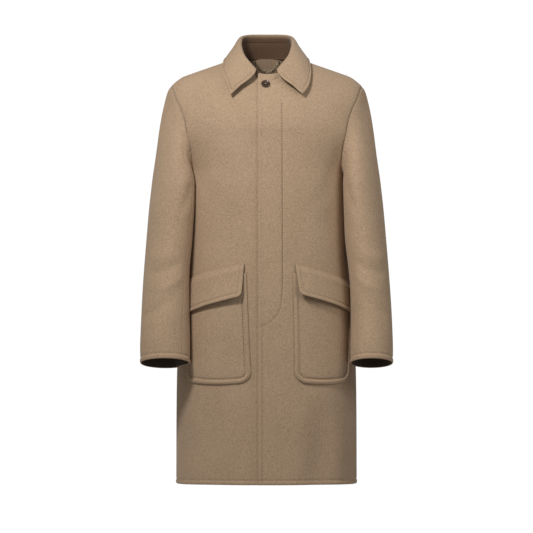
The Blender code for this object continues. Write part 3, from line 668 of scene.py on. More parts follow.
def melton(name, colour, spread, nap, painted_shade=None):
    """Milled wool: heather mottling from four sizes of noise, and a soft nap of short lying fibres.

    The colour follows faint hand-wide clouds, grains of about 3 mm, single tufts and fibres. The bump is
    tufts of about a millimetre with finer fibres drawn out upright. Where the piece's own "painted_shade"
    value is 1, the cloth has the colour given as painted_shade, a darker tone that stands in for shade.
    """
    material, shader, tree, spot = new_material(name)
    clouds = noise(tree, spot, 11.0, 3.0)
    patches = noise(tree, spot, 330.0, 2.0, 0.6)
    tufts = noise(tree, spot, 700.0, 3.0, 0.6, (1.0, 1.0, 0.7))
    fibres = noise(tree, spot, 1900.0, 2.0, 0.6, (1.0, 1.0, 0.25))
    mottle = weighted(tree, ((clouds, 0.10), (patches, 0.46), (tufts, 0.32), (fibres, 0.12)))
    tone = ramp(tree, mottle, shades(colour, spread))
    if painted_shade is not None:
        mix = set_node(tree, "ShaderNodeMix", data_type="RGBA")
        value = set_node(tree, "ShaderNodeAttribute", attribute_name="painted_shade")
        tree.links.new(value.outputs["Fac"], mix.inputs["Factor"])
        tree.links.new(tone, mix.inputs["A"])
        tree.links.new(ramp(tree, mottle, shades(painted_shade, spread)), mix.inputs["B"])
        tone = mix.outputs["Result"]
    tree.links.new(tone, shader.inputs["Base Color"])
    paint(tree, shader, "Roughness", patches, greys((0.2, 0.86), (0.8, 0.98)))
    add_bump(tree, shader, weighted(tree, ((tufts, 0.62), (fibres, 0.38))), nap, 0.0011)
    set_values(shader, Specular_IOR_Level=0.12, Sheen_Weight=0.22, Sheen_Roughness=0.48,
               Sheen_Tint=(0.95, 0.86, 0.74, 1.0))
    return material


def thread_finish(name, colour):
    """Twisted sewing thread: fine slanting bands of light and dark along each stitch."""
    material, shader, tree, spot = new_material(name)
    mapping = set_node(tree, "ShaderNodeMapping", Rotation=(0.4, 0.7, 0.6))
    twist = set_node(tree, "ShaderNodeTexWave", Scale=900.0, Distortion=2.0, Detail=1.0)
    tree.links.new(spot, mapping.inputs["Vector"])
    tree.links.new(mapping.outputs["Vector"], twist.inputs["Vector"])
    paint(tree, shader, "Base Color", twist.outputs["Fac"], shades(colour, 0.3))
    set_values(shader, Roughness=0.72)
    add_bump(tree, shader, twist.outputs["Fac"], 0.4, 0.0002)
    return material


def horn_finish(name):
    """Polished dark horn: brown and black streaks along its grain, under a clear polish with fine wear."""
    material, shader, tree, spot = new_material(name)
    streaks = noise(tree, spot, 210.0, 5.0, 0.62, (0.35, 1.0, 1.6))
    specks = noise(tree, spot, 1400.0, 2.0)
    grain = weighted(tree, ((streaks, 0.8), (specks, 0.2)))
    stops = ((0.32, (0.012, 0.007, 0.005)), (0.52, (0.045, 0.022, 0.012)), (0.70, (0.150, 0.080, 0.040)))
    paint(tree, shader, "Base Color", grain, stops)
    paint(tree, shader, "Roughness", specks, greys((0.3, 0.24), (0.75, 0.42)))
    add_bump(tree, shader, grain, 0.15, 0.0003)
    set_values(shader, Coat_Weight=0.25)
    return material


def chain_finish(name):
    """Dulled brassy steel: patches of tarnish over bright metal, with fine rubbing marks."""
    material, shader, tree, spot = new_material(name)
    tarnish = noise(tree, spot, 700.0, 4.0, 0.65)
    rubbing = noise(tree, spot, 3200.0, 2.0)
    stops = ((0.30, (0.17, 0.125, 0.080)), (0.55, (0.36, 0.29, 0.20)), (0.75, (0.58, 0.50, 0.38)))
    paint(tree, shader, "Base Color", tarnish, stops)
    paint(tree, shader, "Roughness", rubbing, greys((0.3, 0.28), (0.7, 0.48)))
    add_bump(tree, shader, rubbing, 0.2, 0.0001)
    set_values(shader, Metallic=0.80)
    return material


WOOL_TONE = (0.430, 0.298, 0.187)
# Painted shade: a dark brown that stands in for the shade inside the neck, on the collar's stand and the
# inner side of its fall
PAINTED_SHADE_TONE = (0.104, 0.059, 0.034)
WOOL = melton("wool_melton", WOOL_TONE, 0.42, 0.36)
WOOL_INSIDE = melton("wool_inside", WOOL_TONE, 0.42, 0.36)
# Painted shade: a near-black lining on the insides of sleeves, collar and flaps, which darkens the cuff
# openings and the gaps under the collar's leaves and the flaps
PAINTED_SHADE_LINING = melton("dark_lining_painted_shade", (0.062, 0.042, 0.030), 0.30, 0.10)
# Painted shade: the back neck facing is the same wool in a darker tone, which stands in for the shade inside
# the neck
FACING_WOOL_PAINTED_SHADE = melton("wool_facing_painted_shade", (0.295, 0.203, 0.127), 0.36, 0.36)
# Collar wool, with the painted shade tone mixed in on the stand and the inner side of the fall
COLLAR_WOOL_PAINTED_SHADE = melton("wool_collar_painted_shade", WOOL_TONE, 0.36, 0.36, PAINTED_SHADE_TONE)
THREAD = thread_finish("sewing_thread", (0.130, 0.084, 0.050))
PALE_THREAD = thread_finish("button_thread", (0.42, 0.33, 0.23))
HORN = horn_finish("button_horn")
CHAIN = chain_finish("chain_tarnished")


def add_mesh(name, body, points, faces, materials, kinds=None):
    """A piece with smooth shading at the origin, which rides on a body; kinds gives each face's material."""
    faces = faces if isinstance(faces, list) else faces.tolist()
    mesh = bpy.data.meshes.new(name)
    mesh.from_pydata(points.reshape(-1, 3).tolist(), [], faces)
    for material in materials:
        mesh.materials.append(material)
    if kinds is not None:
        mesh.polygons.foreach_set("material_index", kinds.astype(np.int32))
    mesh.shade_smooth()
    piece = add_object(name, mesh)
    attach(piece, body)
    return piece


def grid_quads(number):
    """Four-sided faces between neighbouring rows and columns of a grid of point numbers."""
    corners = (number[:-1, :-1], number[:-1, 1:], number[1:, 1:], number[1:, :-1])
    return np.stack(corners, axis=-1).reshape(-1, 4)


# The first, second and third lines of points in from each edge of a grid
GRID_EDGES = {
    "top": (np.s_[-1:], np.s_[-2:-1], np.s_[-3:-2]),
    "bottom": (np.s_[:1], np.s_[1:2], np.s_[2:3]),
    "start": (np.s_[:, :1], np.s_[:, 1:2], np.s_[:, 2:3]),
    "end": (np.s_[:, -1:], np.s_[:, -2:-1], np.s_[:, -3:-2]),
}


def add_cloth(name, outer, inner, rims, finish=WOOL, painted_shade=None, inside=WOOL_INSIDE):
    """One closed wall of cloth between two grids of points, with rounded rims, in place of any solid it has.

    rims gives how far each edge's rim rounds outwards: half a cloth at a free edge and little at a seam.
    Each edge first moves in by that much, and the rim is a half ellipse from the outer face round to the
    inner one. painted_shade gives the share of the painted shade colour, a darker tone that stands in for
    shade, for each row of the outer face.
    """
    rows, columns = outer.shape[:2]
    number = np.arange(rows * columns).reshape(rows, columns)
    loop = np.concatenate((number[0, :-1], number[:-1, -1], number[-1, :0:-1], number[:0:-1, 0]))
    middle = 0.5 * (outer + inner)
    away = np.zeros_like(outer)
    for edge, lines in GRID_EDGES.items():
        fade = np.clip(1.0 - from_edge(middle, edge) / (RIM_FADE * rims[edge]), 0.0, 1.0)
        away += rims[edge] * fade[..., None] * unit(middle[lines[0]] - middle[lines[2]])
    outer, inner = outer - away, inner - away
    face_out, face_in, push = (array.reshape(-1, 3) for array in (outer, inner, away))
    turn = np.linspace(0.0, math.pi, RIM_STEPS + 1)[1:-1, None, None]
    centre = 0.5 * (face_out[loop] + face_in[loop])
    half = 0.5 * (face_out[loop] - face_in[loop])
    rim = centre + np.cos(turn) * half + np.sin(turn) * push[loop]
    count = rows * columns
    rings = np.concatenate((loop[None], 2 * count + np.arange(rim[..., 0].size).reshape(rim.shape[:2]),
                            loop[None] + count))
    rings = np.concatenate((rings, rings[:, :1]), axis=1)
    quads = grid_quads(number)
    rim_quads = grid_quads(rings)[:, ::-1]
    faces = np.concatenate((quads, quads[:, ::-1] + count, rim_quads))
    across, along = outer[0, 1] - outer[0, 0], outer[1, 0] - outer[0, 0]
    if np.dot(np.cross(across, along), outer[0, 0] - inner[0, 0]) < 0.0:
        faces = faces[:, ::-1]
    kinds = np.concatenate((np.zeros(len(quads)), np.ones(len(quads)), np.zeros(len(rim_quads))))
    points = np.concatenate((face_out, face_in, rim.reshape(-1, 3)))
    piece = add_mesh(name + "_cloth", "coat", points, faces, (finish, inside), kinds)
    # The painted shade share goes on the outer face and on its rims
    if painted_shade is not None:
        values = np.zeros(len(points))
        values[:count] = np.repeat(painted_shade, columns)
        values[2 * count:] = np.tile(values[loop], RIM_STEPS - 1)
        piece.data.attributes.new("painted_shade", "FLOAT", "POINT").data.foreach_set("value", values)
    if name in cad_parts:
        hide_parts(name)
    return piece


def rims_of(cloth, free=()):
    """Rim sizes by edge: half a cloth at the free edges and a small one at the sewn ones."""
    return {edge: 0.5 * cloth if edge in free else SEAM_RIM for edge in GRID_EDGES}


def stretches(*runs):
    """Rising values made of even runs, each from its start to its end in so many steps."""
    return np.concatenate([np.linspace(start, end, steps, endpoint=False) for start, end, steps in runs]
                          + [np.array([runs[-1][1]])])


def trimmed(points, edges, trim):
    """Grid points with the named edges moved back along the grid, to leave a seam's gap."""
    points = points.copy()
    for edge in edges:
        first, second = GRID_EDGES[edge][:2]
        points[first] += trim * unit(points[second] - points[first])
    return points


def welt(distance, width, groove, puff, narrow=WELT_NARROW):
    """Relief beside a sewn edge: cloth puffed up between it and a stitch line, and a groove at the line."""
    swell = np.sin(math.pi * np.clip(distance / width, 0.0, 1.0)) ** WELT_FULL
    return puff * swell - groove * bump(distance - width, narrow)


def seam_dip(distance, depth=SEAM_DIP[0], width=SEAM_DIP[1]):
    """Cloth drawn down beside a seam."""
    return -depth * bump(distance, width)


def band(distance, height, middle, width):
    """A soft raised band along an edge, or a groove where its height is below zero."""
    return height * bump(distance - middle, width)


FRONT_ACROSS = stretches((0.0, 0.25, 46), (0.25, NECK_SHARE, 26), (NECK_SHARE, 1.0, 40))
BACK_ACROSS = stretches((0.0, NECK_SHARE, 34), (NECK_SHARE, 1.0, 38))
BODY_UP = stretches((0.0, 0.014, 10), (0.014, 0.25, 60), (0.25, 0.335, 36), (0.335, LOW_SHARE, 54),
                    (LOW_SHARE, 0.88, 52), (0.88, 1.0, 40))

# Creases of the fronts and back: x, z, length, turn from upright, height (below zero for a trough), width
LEFT_CREASES = ((0.145, -0.300, 0.120, 24.0, -0.0010, 0.016), (0.125, -0.280, 0.105, 22.0, 0.0008, 0.016),
                (0.128, -0.910, 0.200, 3.0, -0.0070, 0.036), (0.166, -0.900, 0.240, -3.0, 0.0030, 0.022),
                (0.080, -0.910, 0.200, 2.0, 0.0030, 0.030), (0.080, -0.420, 0.150, 14.0, -0.0014, 0.030))
RIGHT_CREASES = ((0.143, -0.300, 0.115, 26.0, -0.0010, 0.016), (0.125, -0.275, 0.100, 24.0, 0.0008, 0.016),
                 (0.130, -0.890, 0.230, -5.0, -0.0020, 0.030), (0.085, -0.880, 0.240, 3.0, 0.0024, 0.026),
                 (0.075, -0.420, 0.160, 12.0, -0.0018, 0.030))
BACK_LEFT_CREASES = (
    (0.152, -0.280, 0.130, 26.0, -0.0042, 0.014), (0.128, -0.255, 0.110, 22.0, 0.0028, 0.013),
    (0.050, -0.860, 0.280, 3.0, -0.0042, 0.026), (0.120, -0.870, 0.250, -4.0, 0.0036, 0.026))
BACK_RIGHT_CREASES = (
    (0.150, -0.272, 0.120, 28.0, -0.0038, 0.014), (0.130, -0.250, 0.105, 24.0, 0.0028, 0.013),
    (0.075, -0.850, 0.300, 2.0, -0.0050, 0.030), (0.125, -0.890, 0.220, -3.0, 0.0030, 0.026))
# The short pull beside the button
BUTTON_CREASE = (
    (0.0210, -0.0565, 0.026, 65.0, -0.0042, 0.0032), (0.0200, -0.0625, 0.022, 62.0, 0.0020, 0.0036))


def hem_dip(points):
    """Body points with the hem a little lower towards the sides, fading out over HEM_DIP_REACH above it."""
    out = (np.abs(points[..., 0]) / SECTIONS[0][1]) ** 4
    drop = HEM_DIP * out * ease(1.0 - (points[..., 2] - HEM_Z) / HEM_DIP_REACH)
    return points - drop[..., None] * np.array((0.0, 0.0, 1.0))


def tip_lift(distance, z):
    """Fullness on both sides of the armhole seam round the shoulder tip, fading out below it."""
    low_z, high_z = TIP_FULL_Z
    return TIP_FULL * bump(distance, TIP_FULL_REACH) * ease((z - low_z) / (high_z - low_z))


def panel_relief(face, hem, top):
    """A front's or back's hem welt and the dip along its shoulder seam, which fades out at the neck."""
    past_neck = ease((face[..., 0] - NECK_HALF) / NECK_FADE)
    return welt(hem, HEM_WELT, *HEM_RELIEF) + seam_dip(top) * past_neck


def panel_cloth(name, side, face, normal, fold, relief, free):
    """A front or half of the back: both faces follow its folds, and the outer one its relief as well."""
    outer = face + normal * (fold + relief)[..., None]
    inner = face + normal * (fold - CLOTH)[..., None]
    return add_cloth(name, mirrored(outer, side), mirrored(inner, side), rims_of(CLOTH, free))


def fly_relief(x, z):
    """Relief of the left front alone.

    It is full inside the fly and grooved at the stitch lines. Its edge is a soft roll at the fly and a welt
    below it, and the cloth is pulled beside the button.
    """
    seen = np.stack((x, z), axis=-1)
    inside_fly = ease((FLY_SIDE_X - x) / FLY_SIDE_FADE) * ease((z - FLY_END_Z) / FLY_END_FADE)
    relief = FLY_PUFF * inside_fly + band(line_distance(seen, FLY_LINE), *FLY_GROOVE)
    on_welt = ease((FLY_END_Z - z) / LOW_EDGE_FADE)
    from_front_edge = x + LEFT_EDGE_X
    low_edge = welt(from_front_edge, *LOW_EDGE_WELT) + band(line_distance(seen, EDGE_LINE), *LOW_EDGE_GROOVE)
    relief += on_welt * low_edge + (1.0 - on_welt) * band(from_front_edge, *FLY_EDGE_ROLL)
    return relief + creases(x, z, BUTTON_CREASE)


def add_front(name, side, edge_x, marks):
    """A front on the form, with its hem, seams, creases and, on the left one, the fly and its edge."""
    angle, height = half_panel(True, edge_x, FRONT_ACROSS, BODY_UP)
    face = hem_dip(form(angle, height))
    normal = form_normal(angle, height)
    face = face - normal * lap_push(side, face[..., 0])[..., None]
    face = trimmed(face, ("top", "end"), EDGE_TRIM)
    x, z = face[..., 0], face[..., 2]
    hem, out, top = (from_edge(face, edge) for edge in ("bottom", "end", "top"))
    at_arm = ease((z - UNDERARM_Z) / ARM_FADE)
    relief = panel_relief(face, hem, top) + seam_dip(out, SIDE_DIP - SIDE_DIP_LESS * at_arm)
    relief += at_arm * (band(out, *ARM_PUFF) + band(out, *ARM_GROOVE))
    if side > 0:
        relief += fly_relief(x, z)
    fold = creases(x, z, marks) * ease(out / CREASE_FADE) * ease((x - FRONT_CREASE_START) / FRONT_CREASE_FADE)
    return panel_cloth(name, side, face, normal, fold + tip_lift(out, z), relief, ("bottom", "start"))


def add_back(name, side, marks):
    """Half of the back on the form, with its hem, seams and creases."""
    angle, height = half_panel(False, 0.0, BACK_ACROSS, BODY_UP)
    normal = form_normal(angle, height)
    face = trimmed(hem_dip(form(angle, height)), ("top", "end"), EDGE_TRIM)
    x, z = face[..., 0], face[..., 2]
    hem, out, top, middle = (from_edge(face, edge) for edge in ("bottom", "end", "top", "start"))
    relief = panel_relief(face, hem, top) + seam_dip(out) + seam_dip(middle)
    relief += ease((z - UNDERARM_Z) / ARM_FADE) * band(out, *BACK_ARM_PUFF)
    inside = ease(out / CREASE_FADE) * ease(top / TOP_CREASE_FADE) * ease(middle / CREASE_FADE)
    fold = creases(x, z, marks) * inside
    return panel_cloth(name, side, face, normal, fold + tip_lift(out, z), relief, ("bottom",))


def sleeve_ring(table, z, turned):
    """Ring of the sleeve at heights z: an oval, turned about its own axis and tipped forward."""
    columns = (table_column(table, column, z)[:, None] for column in range(1, 7))
    inner, outer, half_depth, middle_y, turn, tip = columns
    turn = np.radians(turn)
    half_x = 0.5 * (outer - inner)
    half_width = np.sqrt(half_x ** 2 - (half_depth * np.sin(turn)) ** 2) / np.cos(turn)
    wide = half_width * np.cos(turned)
    deep = half_depth * np.sin(turned)
    x = 0.5 * (outer + inner) + wide * np.cos(turn) - deep * np.sin(turn)
    forward = wide * np.sin(turn) + deep * np.cos(turn)
    return np.stack((x, middle_y - forward, z[:, None] + forward * np.tan(np.radians(tip))), axis=-1)


def clear_of_body(points):
    """Sleeve points moved out sideways to lie clear of the body, by more beside pocket and flap."""
    x, y, z = points[..., 0], points[..., 1], points[..., 2]
    depth = np.where(y < 0.0, table_column(SECTIONS, 2, z), table_column(SECTIONS, 3, z))
    power = table_column(SECTIONS, 4, z)
    within = np.clip(1.0 - np.abs(y / depth) ** power, 0.0, 1.0)
    high_z, low_z = CLEAR_CHANGE_Z
    clear = SLEEVE_CLEAR_HIGH + (SLEEVE_CLEAR_LOW - SLEEVE_CLEAR_HIGH) * ease((z - high_z) / (low_z - high_z))
    wall = table_column(SECTIONS, 1, z) * within ** (1.0 / power) + clear
    near = np.clip(0.5 + 0.5 * (wall - x) / CLEAR_BLEND, 0.0, 1.0)
    pushed = x + (wall - x) * near + CLEAR_BLEND * near * (1.0 - near)
    x = np.where(z < UNDERARM_Z - BELOW_SEAM, pushed, x)
    return np.stack((x, y, z), axis=-1)


SLEEVE_ROUND = 200
CAP_SHARES = np.linspace(0.0, 1.0, 41)[:-1]
SLEEVE_DOWN = stretches((0.0, 0.952, 92), (0.952, 1.0, 14))


def sleeve_grid(table):
    """Outer face and outward directions of a whole sleeve; rows run down from the armhole, columns round it.

    The cap leaves the armhole along the body's own slope at the shoulder, and straight out at the underarm,
    and swings into the first full ring on cubic curves. Towards the underarm its first stretch is tucked back
    under the front's edge, as a seam allowance is. Beside the shoulder tip the seam's direction swings evenly
    from back to front, so that the cap is smooth over the tip.
    """
    turned = full_turn(SLEEVE_ROUND)
    on_front = turned <= math.pi
    share_round = np.where(on_front, turned, 2.0 * math.pi - turned) / math.pi
    halves = (armhole(True, share_round), armhole(False, share_round))
    spots = [np.where(on_front, front, back) for front, back in zip(*halves)]
    seam = form(*spots)
    along = unit(np.roll(seam, -1, axis=0) - np.roll(seam, 1, axis=0))
    from_tip = (turned + math.pi) % (2.0 * math.pi) - math.pi
    keys = TIP_COLUMNS * np.array((-1, 0, 1))
    even = between(from_tip, from_tip[keys], along[keys])
    along = unit(np.where(np.abs(from_tip[:, None]) < from_tip[TIP_COLUMNS], even, along))
    leave = unit(np.cross(form_normal(*spots), along))
    leave = np.where(leave[:, :1] < 0.0, -leave, leave)
    first, last = table[0][0], table[-1][0]
    rings = sleeve_ring(table, first + (last - first) * SLEEVE_DOWN, turned)
    second = sleeve_ring(table, np.array([first - RING_STEP]), turned)[0]
    top_share = (0.5 + 0.5 * np.cos(turned))[:, None]
    towards = unit(rings[0] - seam)
    outward = np.array((1.0, 0.0, 0.0))
    leave = unit(leave * top_share + (1.0 - top_share) * (CAP_TOWARDS_RING * towards + outward))
    leave = unit(leave - along * np.sum(leave * along, axis=1, keepdims=True))
    seam = seam + (SEAM_GAP + UNDERARM_GAP * (1.0 - top_share)) * leave
    reach = np.linalg.norm(rings[0] - seam, axis=1, keepdims=True)
    start_pull = CAP_START_PULL * reach * leave
    end_pull = CAP_END_PULL * reach * unit(second - rings[0])
    share = CAP_SHARES[:, None, None]
    cap = ((1.0 + 2.0 * share) * (1.0 - share) ** 2 * seam + share * (1.0 - share) ** 2 * start_pull
           + share ** 2 * (3.0 - 2.0 * share) * rings[0] + share ** 2 * (share - 1.0) * end_pull)
    face = np.concatenate((cap, rings))
    face[1:] = clear_of_body(face[1:])
    near = np.clip(1.0 - from_edge(face, "bottom") / TUCK_REACH, 0.0, 1.0)[..., None]
    low = ease((share_round - TUCK_START) / TUCK_CHANGE) * ease((TUCK_END - turned) / TUCK_FADE)
    low = low[None, :, None]
    face = face - low * (TUCK_BACK * near ** 2 * leave + TUCK_SINK * ease(near) * form_normal(*spots))
    wrapped = np.concatenate((face[:, -1:], face, face[:, :1]), axis=1)
    normal = -grid_normals(wrapped)[:, 1:-1]
    middle = face.mean(axis=1, keepdims=True)
    normal = normal * np.sign(np.sum(normal[-1] * (face - middle)[-1]))
    return face, normal, turned


# Creases of a sleeve: turn round it in degrees, z, length, turn from upright, height, width, all in metres
# but the turns; the first column is carried round the sleeve at ROUND_REACH metres to the radian
ROUND_REACH = 0.055
# Turns past this one are counted back from zero
SLEEVE_TURN_END = math.radians(345.0)
SLEEVE_CREASES = ((70.0, -0.500, 0.085, 72.0, -0.0030, 0.012), (85.0, -0.535, 0.075, 66.0, 0.0024, 0.011),
                  (52.0, -0.470, 0.070, 80.0, 0.0018, 0.012), (60.0, -0.590, 0.090, 58.0, -0.0024, 0.013),
                  (245.0, -0.500, 0.090, -70.0, -0.0030, 0.013), (260.0, -0.470, 0.080, -76.0, 0.0024, 0.012),
                  (110.0, -0.330, 0.080, 20.0, -0.0026, 0.013), (235.0, -0.330, 0.090, -18.0, -0.0026, 0.013),
                  (20.0, -0.640, 0.120, 8.0, 0.0014, 0.018), (320.0, -0.560, 0.140, -8.0, -0.0020, 0.020))


def add_sleeve(word, side, table):
    """A two-piece sleeve: cap eased into the armhole, seams, cuff welt and soft creases at the elbow."""
    face, normal, turned = sleeve_grid(table)
    wrapped_turn = np.where(turned > SLEEVE_TURN_END, turned - 2.0 * math.pi, turned)
    fold = creases(ROUND_REACH * wrapped_turn[None], face[..., 2],
                   [(ROUND_REACH * math.radians(mark[0]), *mark[1:]) for mark in SLEEVE_CREASES])
    arm, cuff = from_edge(face, "bottom"), from_edge(face, "top")
    fold = fold * ease(cuff / SLEEVE_CREASE_FADE) * ease(arm / SLEEVE_CREASE_FADE)
    fold += tip_lift(arm, face[:1, :, 2])
    relief = seam_dip(arm, *ARM_DIP) + welt(cuff, CUFF_WELT, *CUFF_RELIEF)
    seams = (SLEEVE_FRONT_SEAM, SLEEVE_BACK_SEAM)
    front, back = (int(round(seam / (2.0 * math.pi) * SLEEVE_ROUND)) for seam in seams)
    pieces = {"upper": np.arange(-back, front + 1) % SLEEVE_ROUND,
              "under": np.arange(front, SLEEVE_ROUND - back + 1)}
    made = []
    for piece, columns in pieces.items():
        points = face[:, columns]
        beside = np.minimum(from_edge(points, "start"), from_edge(points, "end"))
        lift = (relief[:, columns] + seam_dip(beside, *SLEEVE_DIP))[..., None]
        kept = normal[:, columns]
        points = trimmed(points + fold[:, columns, None] * kept, ("start", "end"), EDGE_TRIM)
        # The sleeve's inside takes the near-black lining: painted shade inside the cuff
        made.append(add_cloth("sleeve_%s_%s" % (piece, word), mirrored(points + lift * kept, side),
                              mirrored(points - CLOTH * kept, side), rims_of(CLOTH, ("top",)), inside=PAINTED_SHADE_LINING))
    return made


COLLAR_TURNS = stretches((19.5, 30.0, 12), (30.0, 100.0, 54), (100.0, 180.0, 44))
STAND_LINES = stretches((COLLAR_KNOTS[0], 0.0, 4), (0.0, STAND_SEAM, 16))
FALL_LINES = stretches((STAND_SEAM, 0.36, 8), (0.36, 0.50, 16), (0.50, 0.82, 20), (0.82, 1.0, 16))


def collar_sections():
    """Neck, fold and leaf edge points of the half collar, a row for each section from front to back."""
    fold = np.stack([table_column(COLLAR, column, COLLAR_TURNS) for column in (1, 2, 3)], axis=-1)
    edge_x, edge_z, stand_off = (table_column(COLLAR, column, COLLAR_TURNS) for column in (4, 5, 6))
    radius, bulge = (table_column(COLLAR, column, COLLAR_TURNS)[:, None] for column in (7, 8))
    neck_x, neck_z = neck_line(COLLAR_TURNS)
    front = COLLAR_TURNS < 90.0
    neck = np.empty_like(fold)
    edge = np.empty_like(fold)
    for facing, rows in ((True, front), (False, ~front)):
        neck[rows] = form(*place(neck_x[rows], neck_z[rows], facing))
        spot = place(edge_x[rows], edge_z[rows], facing)
        edge[rows] = form(*spot) + stand_off[rows, None] * form_normal(*spot)
    return neck, fold, edge, radius, bulge


def collar_grid(lines):
    """Middle of the collar's cloth at lines along each section, from right front round to left front."""
    neck, fold, edge, radius, bulge = collar_sections()
    outward = unit((edge - fold) * np.array((1.0, 1.0, 0.0)))
    up = np.array((0.0, 0.0, 1.0))
    inner_fold = fold - radius * outward - FOLD_DROP * radius * up
    outer_fold = fold + radius * outward - FOLD_DROP * radius * up
    foot = neck - 0.5 * COLLAR_CLOTH * outward
    seam = foot + STAND_SHARE * (inner_fold - foot)
    base = foot + STAND_LIFT * unit(seam - foot)
    middle = 0.5 * (outer_fold + edge) + bulge * unit(outward + LEAF_LIFT * up)
    first, last = BACK_FOOT_TURN
    at_back = ease((COLLAR_TURNS - first) / (last - first))[:, None]
    down, inwards = (here + (there - here) * at_back for here, there in zip(STAND_FOOT, BACK_FOOT))
    low = base - down * up - inwards * outward
    knots = np.stack((low, base, seam, inner_fold, fold, outer_fold, middle, edge), axis=1)
    runs = [[smooth(COLLAR_KNOTS, row[:, axis], lines) for axis in range(3)] for row in knots]
    half = np.array(runs).transpose(0, 2, 1)
    near_front = bump(COLLAR_TURNS - COLLAR_TURNS[0], LEAF_ROLL_TURN)[:, None, None]
    keys, shares = zip(*LEAF_ROLL_LINES)
    down_leaf = smooth(keys, shares, lines)[None, :, None]
    half += near_front * down_leaf * np.array(LEAF_ROLL)
    half[-1, :, 0] = 0.0
    draw, turn, reach = LEAF_NARROW
    out_leaf = ease((lines - LEAF_START) / (1.0 - LEAF_START))[None]
    right = mirrored(half, -1.0)
    right[..., 0] += draw * bump(COLLAR_TURNS - turn, reach)[:, None] * out_leaf
    return np.concatenate((right, half[-2::-1])).transpose(1, 0, 2)


def rounded_tip(face):
    """The collar with its left leaf's tip drawn in: by a bell curve of the distance from the tip."""
    tip = face[-1, -1]
    beside, above = TIP_STEPS
    inward = unit(face[-1, -beside] + face[-above, -1] - 2.0 * tip)
    return face + TIP_DRAW * bump(np.linalg.norm(face - tip, axis=-1), TIP_ROUND)[..., None] * inward


def add_collar():
    """Stand and fall: the fall has a stitched welt along its edge and points, and a soft roll at the fold."""
    lines = np.concatenate((STAND_LINES, FALL_LINES[1:]))
    whole = rounded_tip(collar_grid(lines))
    normal = grid_normals(whole)
    made = []
    for name, rows, joined, free in (
            ("collar_stand", slice(0, len(STAND_LINES)), "top", ("start", "end")),
            ("collar_fall", slice(len(STAND_LINES) - 1, None), "bottom", ("top", "start", "end"))):
        face = trimmed(whole[rows], (joined,), EDGE_TRIM)
        out = normal[rows]
        relief = seam_dip(from_edge(face, joined), *COLLAR_DIP)
        if name == "collar_fall":
            ends = np.minimum(from_edge(face, "start"), from_edge(face, "end"))
            rim = np.minimum(from_edge(face, "top"), ends)
            leaf = ease((FALL_LINES - LEAF_START) / LEAF_FADE)[:, None]
            relief += leaf * welt(rim, COLLAR_WELT, *COLLAR_RELIEF)
        outer = face + (0.5 * COLLAR_CLOTH + relief)[..., None] * out
        inner = face - 0.5 * COLLAR_CLOTH * out
        # Painted shade: the stand and the inner side of the fall take the darker tone, which fades out
        # towards the fold
        painted_shade = ease((STAND_PAINTED_SHADE[0] - lines[rows]) / STAND_PAINTED_SHADE[1])
        # The collar's inside takes the near-black lining: painted shade under its leaves
        made.append(add_cloth(name, outer, inner, rims_of(COLLAR_CLOTH, free), COLLAR_WOOL_PAINTED_SHADE, painted_shade, PAINTED_SHADE_LINING))
    return made


# Facing inside the back neck: half width, top, length down and grid of points
FACING_HALF = 0.060
FACING_TOP = 0.001
FACING_DROP = 0.080
FACING_GRID = (61, 91)
# The upright part's half width and height and how far it bows back
FACING_FLAT = (0.036, 0.046)
FACING_BOW = 0.004
# Where the facing starts to lean back and over what distance, sideways and then downwards
FACING_LEAN = (0.030, 0.026, 0.036, 0.042)
FACING_OFF_BACK = 0.0055
FACING_Y = 0.0597
FACING_CLOTH = 0.0008


def add_facing():
    """The facing inside the back neck: a thin cloth, upright behind the hanger chain.

    Towards its sides and its lower edge it leans back and meets the inside of the back.
    """
    rows, columns = FACING_GRID
    x = np.linspace(-FACING_HALF, FACING_HALF, columns)[None]
    z = FACING_TOP - FACING_DROP * np.linspace(1.0, 0.0, rows)[:, None]
    x, z = np.broadcast_arrays(x, z)
    down = FACING_TOP - z
    flat_x, flat_drop = FACING_FLAT
    upright = FACING_Y + FACING_BOW * (1.0 - (x / flat_x) ** 2) * ease(down / flat_drop)
    back_y = form(*place(np.abs(x), z, False))[..., 1] - FACING_OFF_BACK
    side_start, side_run, low_start, low_run = FACING_LEAN
    aside = ease((np.abs(x) - side_start) / side_run)
    below = ease((down - low_start) / low_run)
    y = back_y + (upright - back_y) * (1.0 - aside) * (1.0 - below)
    face = np.stack((x, y, z), axis=-1)
    behind = face + np.array((0.0, FACING_CLOTH, 0.0))
    # The facing's darker wool is painted shade for the inside of the back neck
    return add_cloth("neck_facing", face, behind, rims_of(FACING_CLOTH, GRID_EDGES), FACING_WOOL_PAINTED_SHADE)


def patch_size(corners):
    """Angle and height of each corner of a pocket or flap, its width along the bottom and its drop."""
    spot = {name: np.array(place(*corner)) for name, corner in corners.items() if name != "bow"}
    width = float(np.linalg.norm(form(*spot["outer_bottom"]) - form(*spot["inner_bottom"])))
    return spot, width, corners["inner_top"][1] - corners["inner_bottom"][1]


def patch_spots(corners, across, down):
    """Angles and heights at shares across and down a pocket or flap, straight between its corners."""
    spot = patch_size(corners)[0]
    spots = []
    for part in range(2):
        inner_top, outer_top = spot["inner_top"][part], spot["outer_top"][part]
        inner_low, outer_low = spot["inner_bottom"][part], spot["outer_bottom"][part]
        top = inner_top + (outer_top - inner_top) * across
        low = inner_low + (outer_low - inner_low) * across
        spots.append(top + (low - top) * down)
    spots[1] = spots[1] + corners.get("bow", 0.0) * (2.0 * across - 1.0) ** 2 * down
    return spots


def lower_edge(corners, x):
    """Height of a flap's lower edge at x."""
    (inner_x, inner_z), (outer_x, outer_z) = corners["inner_bottom"], corners["outer_bottom"]
    return inner_z + (outer_z - inner_z) * (x - inner_x) / (outer_x - inner_x)


